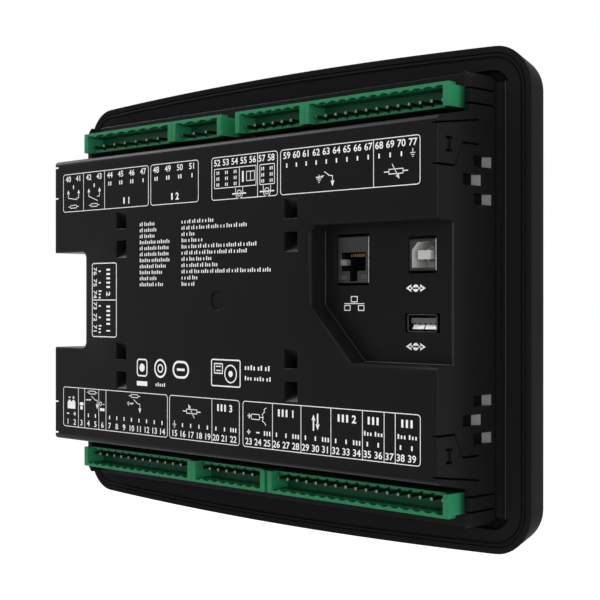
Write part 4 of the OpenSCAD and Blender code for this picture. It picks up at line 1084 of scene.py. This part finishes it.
class CONTROLLER_OT_plate_print(bpy.types.Operator):
    """Prints the ratings, the plain marks and the notch's box on the rear plate"""

    bl_idname = "controller.plate_print"
    bl_label = "Plate print"

    def execute(self, context):
        plane = rear_plane(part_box("rear_case")[1].y)
        ink = inked("plate_white", colours().ink)
        ratings = Sheet(plane)
        for i, (left, right) in enumerate(RATINGS):
            level = 30.7 - 2.5 * i
            ratings.ticks(left, (-48.9, level), 1.6, 1.2)
            ratings.ticks(right, (-22.0, level), 1.6, 1.2)
        ratings.finish("ratings_lines", ink)
        self.marks(Sheet(plane)).finish("plate_marks", ink)
        self.notch(Sheet(plane)).finish("notch_print", ink)
        return {"FINISHED"}

    def marks(self, sheet):
        """Plain shapes under the ratings."""
        sheet.frame((-50.6, -31.8), (-43.6, -24.4), 1.6, 0.6)
        sheet.disc((-47.1, -28.1), 1.7)
        sheet.path([(-50.6, -34.7), (-43.7, -34.7)], 1.9)
        sheet.ring((-35.2, -28.0), 3.9, 0.8)
        sheet.ring((-35.2, -28.0), 1.8, 0.6)
        sheet.ticks((5,), (-38.6, -35.4), 1.5, 1.35)
        sheet.frame((-27.3, -31.6), (-17.1, -24.5), 3.5, 0.9)
        sheet.path([(-24.6, -28.05), (-19.8, -28.05)], 1.0)
        sheet.frame((-3.75, -33.75), (13.3, -23.0), 1.0, 0.5)
        sheet.frame((-2.0, -28.8), (3.1, -24.6), 0.4, 0.45)
        for v in (-25.9, -27.5):
            sheet.path([(-0.9, v), (2.0, v)], 0.4)
        sheet.ring((7.6, -28.6), 3.6, 0.5)
        sheet.disc((7.6, -28.6), 1.2)
        sheet.ticks((4, 2, 2), (15.3, -26.7), 1.9, 1.6)
        sheet.ticks((3, 4, 2), (15.3, -30.6), 1.6, 1.5)
        return sheet

    def notch(self, sheet):
        """Box beside the notch, whose print is read from top to bottom."""
        turn = -math.pi / 2
        sheet.frame((-81.9, -16.0), (-64.4, 16.0), 1.2, 0.4)
        sheet.path([(-81.6, 0), (-64.7, 0)], 0.4)
        for i, count in enumerate((1, 1, 3, 1, 1, 3)):
            level = 12.4 - 4.98 * i
            sheet.figures(str(76 - i), (-79.6, level), 2.3, turn)
            sheet.mid_ticks(count, (-76.1, level), 1.9, 1.4, turn)
        for level, figure in ((7.8, "2"), (-8.0, "1")):
            sheet.heading((-70.3, level), 5, figure, turn, 2.5, 1.85)
        return sheet


class CONTROLLER_OT_port_print(bpy.types.Operator):
    """Prints the marks beside the data sockets"""

    bl_idname = "controller.port_print"
    bl_label = "Port print"

    def execute(self, context):
        sheet = Sheet(rear_plane(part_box("host_shell")[1].y))
        sheet.frame((63.0, -0.8), (66.3, 1.4), 0.2, 0.32)
        sheet.path([(64.65, -0.8), (64.65, -1.3)])
        sheet.path([(59.8, -1.3), (69.5, -1.3)])
        for u in (61.3, 68.0):
            sheet.frame((u - 1.5, -3.9), (u + 1.5, -1.8), 0.2, 0.32)
        for v in (4.1, -16.1):
            sheet.path([(90.4, v), (96.4, v)], 0.6)
            for s in (-1, 1):
                sheet.arrow((93.4 + s * 4.4, v), (s, 0), 2.4, 2.6)
            sheet.disc((93.4, v), 1.3)
        sheet.finish("port_marks", inked("port_white", colours().ink))
        return {"FINISHED"}


class CONTROLLER_OT_fascia(bpy.types.Operator):
    """Finishes the overlay, the display, the keys and the indicators"""

    bl_idname = "controller.fascia"
    bl_label = "Fascia"

    def execute(self, context):
        tones = colours()
        paint_node("fascia_overlay", moulded("overlay_film", tones.overlay, 0.42, gloss=0.12, grain_mm=0.3))
        paint_node("display_lens", clear("lens_clear", (0.9, 0.94, 0.93), 0.05, 1.0))
        paint_node("display_glass", moulded("display_panel", tones.screen, 0.35, grain_mm=0.4, relief=0.02))
        paint_node("indicator_lenses", clear("lamp_lens", (0.75, 0.8, 0.75), 0.15, 0.6))
        dark = moulded("key_dark", (0.035, 0.036, 0.039), 0.45, gloss=0.15)
        for name in MODE_KEYS + ARROW_KEYS + ("enter_key",):
            paint_node(name, dark)
        paint_node("stop_key", moulded("key_red", tones.stop, 0.4))
        paint_node("start_key", moulded("key_green", tones.start, 0.4))
        return {"FINISHED"}


class CONTROLLER_OT_overlay_print(bpy.types.Operator):
    """Prints the fascia overlay and the display's picture"""

    bl_idname = "controller.overlay_print"
    bl_label = "Overlay print"

    def execute(self, context):
        self.overlay().finish("overlay_lines", inked("overlay_grey", (0.5, 0.51, 0.52)))
        self.picture().finish("display_picture", inked("display_dark", (0.012, 0.016, 0.02)))
        return {"FINISHED"}

    def overlay(self):
        sheet = Sheet(front_plane(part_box("fascia_overlay")[0].y))
        low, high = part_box("display_lens")
        edge = Vector((2.0, 2.0))
        window = [Vector((p.x, p.z)) / MM for p in (low, high)]
        sheet.frame(window[0] - edge, window[1] + edge, 3.0, 0.6)
        for name in MODE_KEYS:
            key = middle(name)
            sheet.ring(key, 11.6, 0.5, 48)
            sheet.mid_ticks(6, key + Vector((0, -14.5)), 1.8, 1.5)
            sheet.ring(key + Vector((0, 18)), 3.4, 0.4)
        hub = middle("enter_key")
        sheet.ring(hub, 24.0, 0.6, 64)
        left = Vector((-92, (low.z + high.z) / 2 / MM))
        for i in range(-2, 3):
            at = left + Vector((0, 13 * i))
            sheet.ring(at, 3.4, 0.4)
            sheet.ticks((4,), at + Vector((4.4, 0.5)), 1.6, 1.5)
            sheet.ticks((5,), at + Vector((4.4, -2.1)), 1.6, 1.5)
        return sheet

    def picture(self):
        """Plain readings, a generator with its contact and bar, and four soft-key boxes."""
        low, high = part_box("display_glass")
        sheet = Diagram(front_plane(low.y))
        left, right = low.x / MM, high.x / MM
        foot, top = low.z / MM, high.z / MM
        sheet.area([(left + 3, top - 9), (right - 3, top - 9), (right - 3, top - 3), (left + 3, top - 3)])
        for i, reading in enumerate(("400", "50.0", "127", "85")):
            level = top - 16 - 10.5 * i
            sheet.figures(reading, (left + 17, level), 6.0, bold=0.2)
            sheet.ticks((2,), (left + 30, level - 3), 3.0, 2.4)
            sheet.frame((left + 40, level - 2), (left + 68, level + 2), 0.6)
            sheet.area(round_corners((left + 41, level - 1), (left + 61 - 4 * i, level + 1), 0.3))
        hub = Vector((right - 32, top - 30))
        sheet.ring(hub, 8.0, 0.9, 40)
        wave = [hub + Vector((4.6 * k / 8, 2.6 * math.sin(math.pi * k / 8))) for k in range(-8, 9)]
        sheet.path(wave, 0.8)
        sheet.path([hub + Vector((8, 0)), hub + Vector((13, 0)), hub + Vector((19, 4.5))], 0.8)
        sheet.path([hub + Vector((19, 0)), hub + Vector((26, 0))], 0.8)
        sheet.path([hub + Vector((26, -11)), hub + Vector((26, 11))], 1.8)
        step = (right - left - 6) / 4
        for i in range(4):
            u = left + 3 + step * i
            sheet.frame((u + 0.8, foot + 3), (u + step - 0.8, foot + 11), 1.0, 0.6)
            sheet.mid_ticks(5 + i % 2, (u + step / 2, foot + 7), 2.6, 2.4)
        return sheet


def middle(node):
    """Middle of a node seen from the front, in millimetres."""
    low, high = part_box(node)
    return Vector((low.x + high.x, low.z + high.z)) / 2 / MM


class CONTROLLER_OT_key_marks(bpy.types.Operator):
    """Prints a plain symbol on each key"""

    bl_idname = "controller.key_marks"
    bl_label = "Key marks"

    dish_radius_mm = 80
    dish_depth_mm = 0.45
    arrow_reach_mm = 14.2
    arrow_mm = (3.6, 5.2)
    sunk_mm = 0.15

    def execute(self, context):
        ink = inked("key_white", colours().ink)
        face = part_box("stop_key")[0].y
        marks = {
            "stop_key": self.ring,
            "manual_key": self.hand,
            "test_key": self.wave,
            "auto_key": self.loop,
            "mute_key": self.horn,
            "start_key": self.stroke,
            "enter_key": self.tick,
        }
        for name, draw in marks.items():
            self.press(name, middle(name), draw, face, ink)
        hub = middle("enter_key")
        for i, name in enumerate(ARROW_KEYS):
            ahead = Vector((round(math.cos(i * math.pi / 2)), round(math.sin(i * math.pi / 2))))
            at = hub + ahead * self.arrow_reach_mm
            self.press(name, at, lambda s: s.arrow(ahead * 2, ahead, *self.arrow_mm), face, ink)
        return {"FINISHED"}

    def press(self, name, at, draw, face, ink):
        sheet = Sheet(front_plane(face, at.x * MM, at.y * MM), self.sunk_mm)
        draw(sheet)
        sheet.dish(self.dish_radius_mm, self.dish_depth_mm)
        sheet.finish(name.replace("_key", "_mark"), ink, body=name)

    def ring(self, sheet):
        sheet.ring((0, 0), 4.6, 1.0, 40)

    def stroke(self, sheet):
        sheet.path([(0, -4.6), (0, -1.5), (0, 1.5), (0, 4.6)], 1.2)

    def hand(self, sheet):
        sheet.area(round_corners((-2.7, -4.6), (2.3, 0.2), 1.2))
        for u, tip in ((-2.1, 3.2), (-0.75, 4.4), (0.65, 4.0), (1.9, 2.6)):
            sheet.path([(u, -0.4), (u, 1.6), (u, tip)], 0.95)
        sheet.path([(1.6, -3.2), (3.4, -1.4), (4.2, 0.4)], 1.0)

    def wave(self, sheet):
        line = [(-5, -2.2), (-3, -2.2), (-3, 2.6), (0, 2.6), (0, -2.2), (3, -2.2), (3, 2.6), (5, 2.6)]
        sheet.path(line, 0.9)

    def loop(self, sheet):
        sheet.path(arc((0, 0), 4.0, math.radians(60), math.radians(350), 24), 0.95)
        sheet.arrow((2.9, 3.9), (1, -0.55), 2.4, 3.2)

    def horn(self, sheet):
        sheet.area([(-4.4, -1.5), (-2.2, -1.5), (0.8, -4.0), (0.8, 4.0), (-2.2, 1.5), (-4.4, 1.5)])
        sheet.path([(2.2, -1.6), (3.6, 0), (5.0, 1.6)], 0.8)
        sheet.path([(2.2, 1.6), (3.0, 0.7)], 0.8)
        sheet.path([(4.2, -0.7), (5.0, -1.6)], 0.8)

    def tick(self, sheet):
        sheet.path([(-2.4, 0.1), (-0.7, -1.8), (2.6, 2.2)], 0.9)


class CONTROLLER_OT_stage(bpy.types.Operator):
    """Sets the floor, the lamps, the surroundings and the camera"""

    bl_idname = "controller.stage"
    bl_label = "Stage"

    # Lamps: name, place, width and height
    lamps = (
        ("top", (-0.15, 0.1, 1.1), (0.8, 0.6)),
        ("side", (0.72, 0.2, 0.66), (0.5, 0.4)),
        ("front", (-1.08, 0.5, 0.1), (1.8, 0.5)),
    )
    sensor_width_mm = 36

    # Floor: half its width, two greys, the distances between which its glow rises, and that glow
    floor_reach = 6
    floor_greys = (0.78, 0.82)
    glow_from = 0.5
    glow_to = 1.2
    glow_greys = (0.2, 0.66)

    def execute(self, context):
        scene = context.scene
        stage = scene.controller_stage
        scene.view_settings.view_transform = "Standard"
        toward = Vector((-math.sin(stage.azimuth), math.cos(stage.azimuth), 0))
        self.surroundings(scene, stage)
        self.floor(stage)
        for name, place, size in self.lamps:
            self.lamp(name + "_lamp", Vector(place), size, getattr(stage, name))
        camera = bpy.data.objects.new("view", bpy.data.cameras.new("view"))
        camera.data.lens = stage.focal
        camera.data.sensor_width = self.sensor_width_mm
        camera.location = stage.camera
        camera.rotation_euler = (-toward).to_track_quat("-Z", "Y").to_euler()
        scene.collection.objects.link(camera)
        scene.camera = camera
        return {"FINISHED"}

    def surroundings(self, scene, stage):
        """White where it is seen, plain light elsewhere."""
        world = bpy.data.worlds.new("surroundings")
        world.use_nodes = True
        scene.world = world
        graph = Graph(world.node_tree)
        ground = world.node_tree.nodes["Background"]
        ground.inputs["Color"].default_value = (1, 1, 1, 1)
        graph.plug(graph.seen().most(stage.ambient), ground.inputs["Strength"])

    def greys(self, finish, factor, levels):
        """Blend of two greys."""
        return finish.mix(factor, *((level, level, level) for level in levels))

    def floor(self, stage):
        """Pale floor that takes the object's shadow. Far from the object it is white where it is seen."""
        mesh = bmesh.new()
        bmesh.ops.create_grid(mesh, x_segments=8, y_segments=8, size=self.floor_reach)
        bmesh.ops.translate(mesh, vec=(0, 0, -stage.floor), verts=mesh.verts)
        data = bpy.data.meshes.new("floor")
        mesh.to_mesh(data)
        mesh.free()
        finish = Finish("floor_paint", Roughness=0.9, Specular_IOR_Level=0.1, Emission_Strength=1.0)
        finish.feed("Base Color", self.greys(finish, finish.noise(300.0), self.floor_greys))
        distance = finish.node("ShaderNodeVectorMath", {"operation": "LENGTH"}, {0: finish.place()}, "Value")
        limits = {"Value": distance, "From Min": self.glow_from, "From Max": self.glow_to}
        glow = self.greys(finish, finish.node("ShaderNodeMapRange", {}, limits), self.glow_greys)
        finish.feed("Emission Color", finish.mix(finish.seen(), (0, 0, 0), glow))
        data.materials.append(finish.material)
        floor = bpy.data.objects.new("floor", data)
        bpy.context.scene.collection.objects.link(floor)

    def lamp(self, name, place, size, power):
        data = bpy.data.lights.new(name, "AREA")
        data.shape = "RECTANGLE"
        data.size, data.size_y = size
        data.energy = power
        lamp = bpy.data.objects.new(name, data)
        lamp.location = place
        lamp.rotation_euler = (-place).to_track_quat("-Z", "Y").to_euler()
        bpy.context.scene.collection.objects.link(lamp)


class CONTROLLER_PT_panel(bpy.types.Panel):
    """Lists the steps that dress the controller."""

    bl_label = "Generator controller"
    bl_idname = "CONTROLLER_PT_panel"
    bl_space_type = "VIEW_3D"
    bl_region_type = "UI"
    bl_category = "Controller"

    def draw(self, context):
        for group in (colours(), sizes(), context.scene.controller_stage):
            for name in group.bl_rna.properties.keys():
                if name not in ("rna_type", "name"):
                    self.layout.prop(group, name)
        for step in STEPS:
            self.layout.operator(step.bl_idname)


STEPS = (
    CONTROLLER_OT_mouldings,
    CONTROLLER_OT_case_details,
    CONTROLLER_OT_headers,
    CONTROLLER_OT_sockets,
    CONTROLLER_OT_clip_slots,
    CONTROLLER_OT_insides,
    CONTROLLER_OT_terminal_print,
    CONTROLLER_OT_plate_print,
    CONTROLLER_OT_port_print,
    CONTROLLER_OT_fascia,
    CONTROLLER_OT_overlay_print,
    CONTROLLER_OT_key_marks,
    CONTROLLER_OT_stage,
)
GROUPS = {
    "controller_colours": CONTROLLER_PG_colours,
    "controller_sizes": CONTROLLER_PG_sizes,
    "controller_stage": CONTROLLER_PG_stage,
}


def register():
    for cls in (*GROUPS.values(), *STEPS, CONTROLLER_PT_panel):
        bpy.utils.register_class(cls)
    for name, group in GROUPS.items():
        setattr(bpy.types.Scene, name, PointerProperty(type=group))


def unregister():
    for name in GROUPS:
        delattr(bpy.types.Scene, name)
    for cls in (CONTROLLER_PT_panel, *reversed(STEPS), *reversed(GROUPS.values())):
        bpy.utils.unregister_class(cls)


def main():
    register()
    for step in STEPS:
        family, name = step.bl_idname.split(".")
        getattr(getattr(bpy.ops, family), name)()


if __name__ == "__main__":
    main()
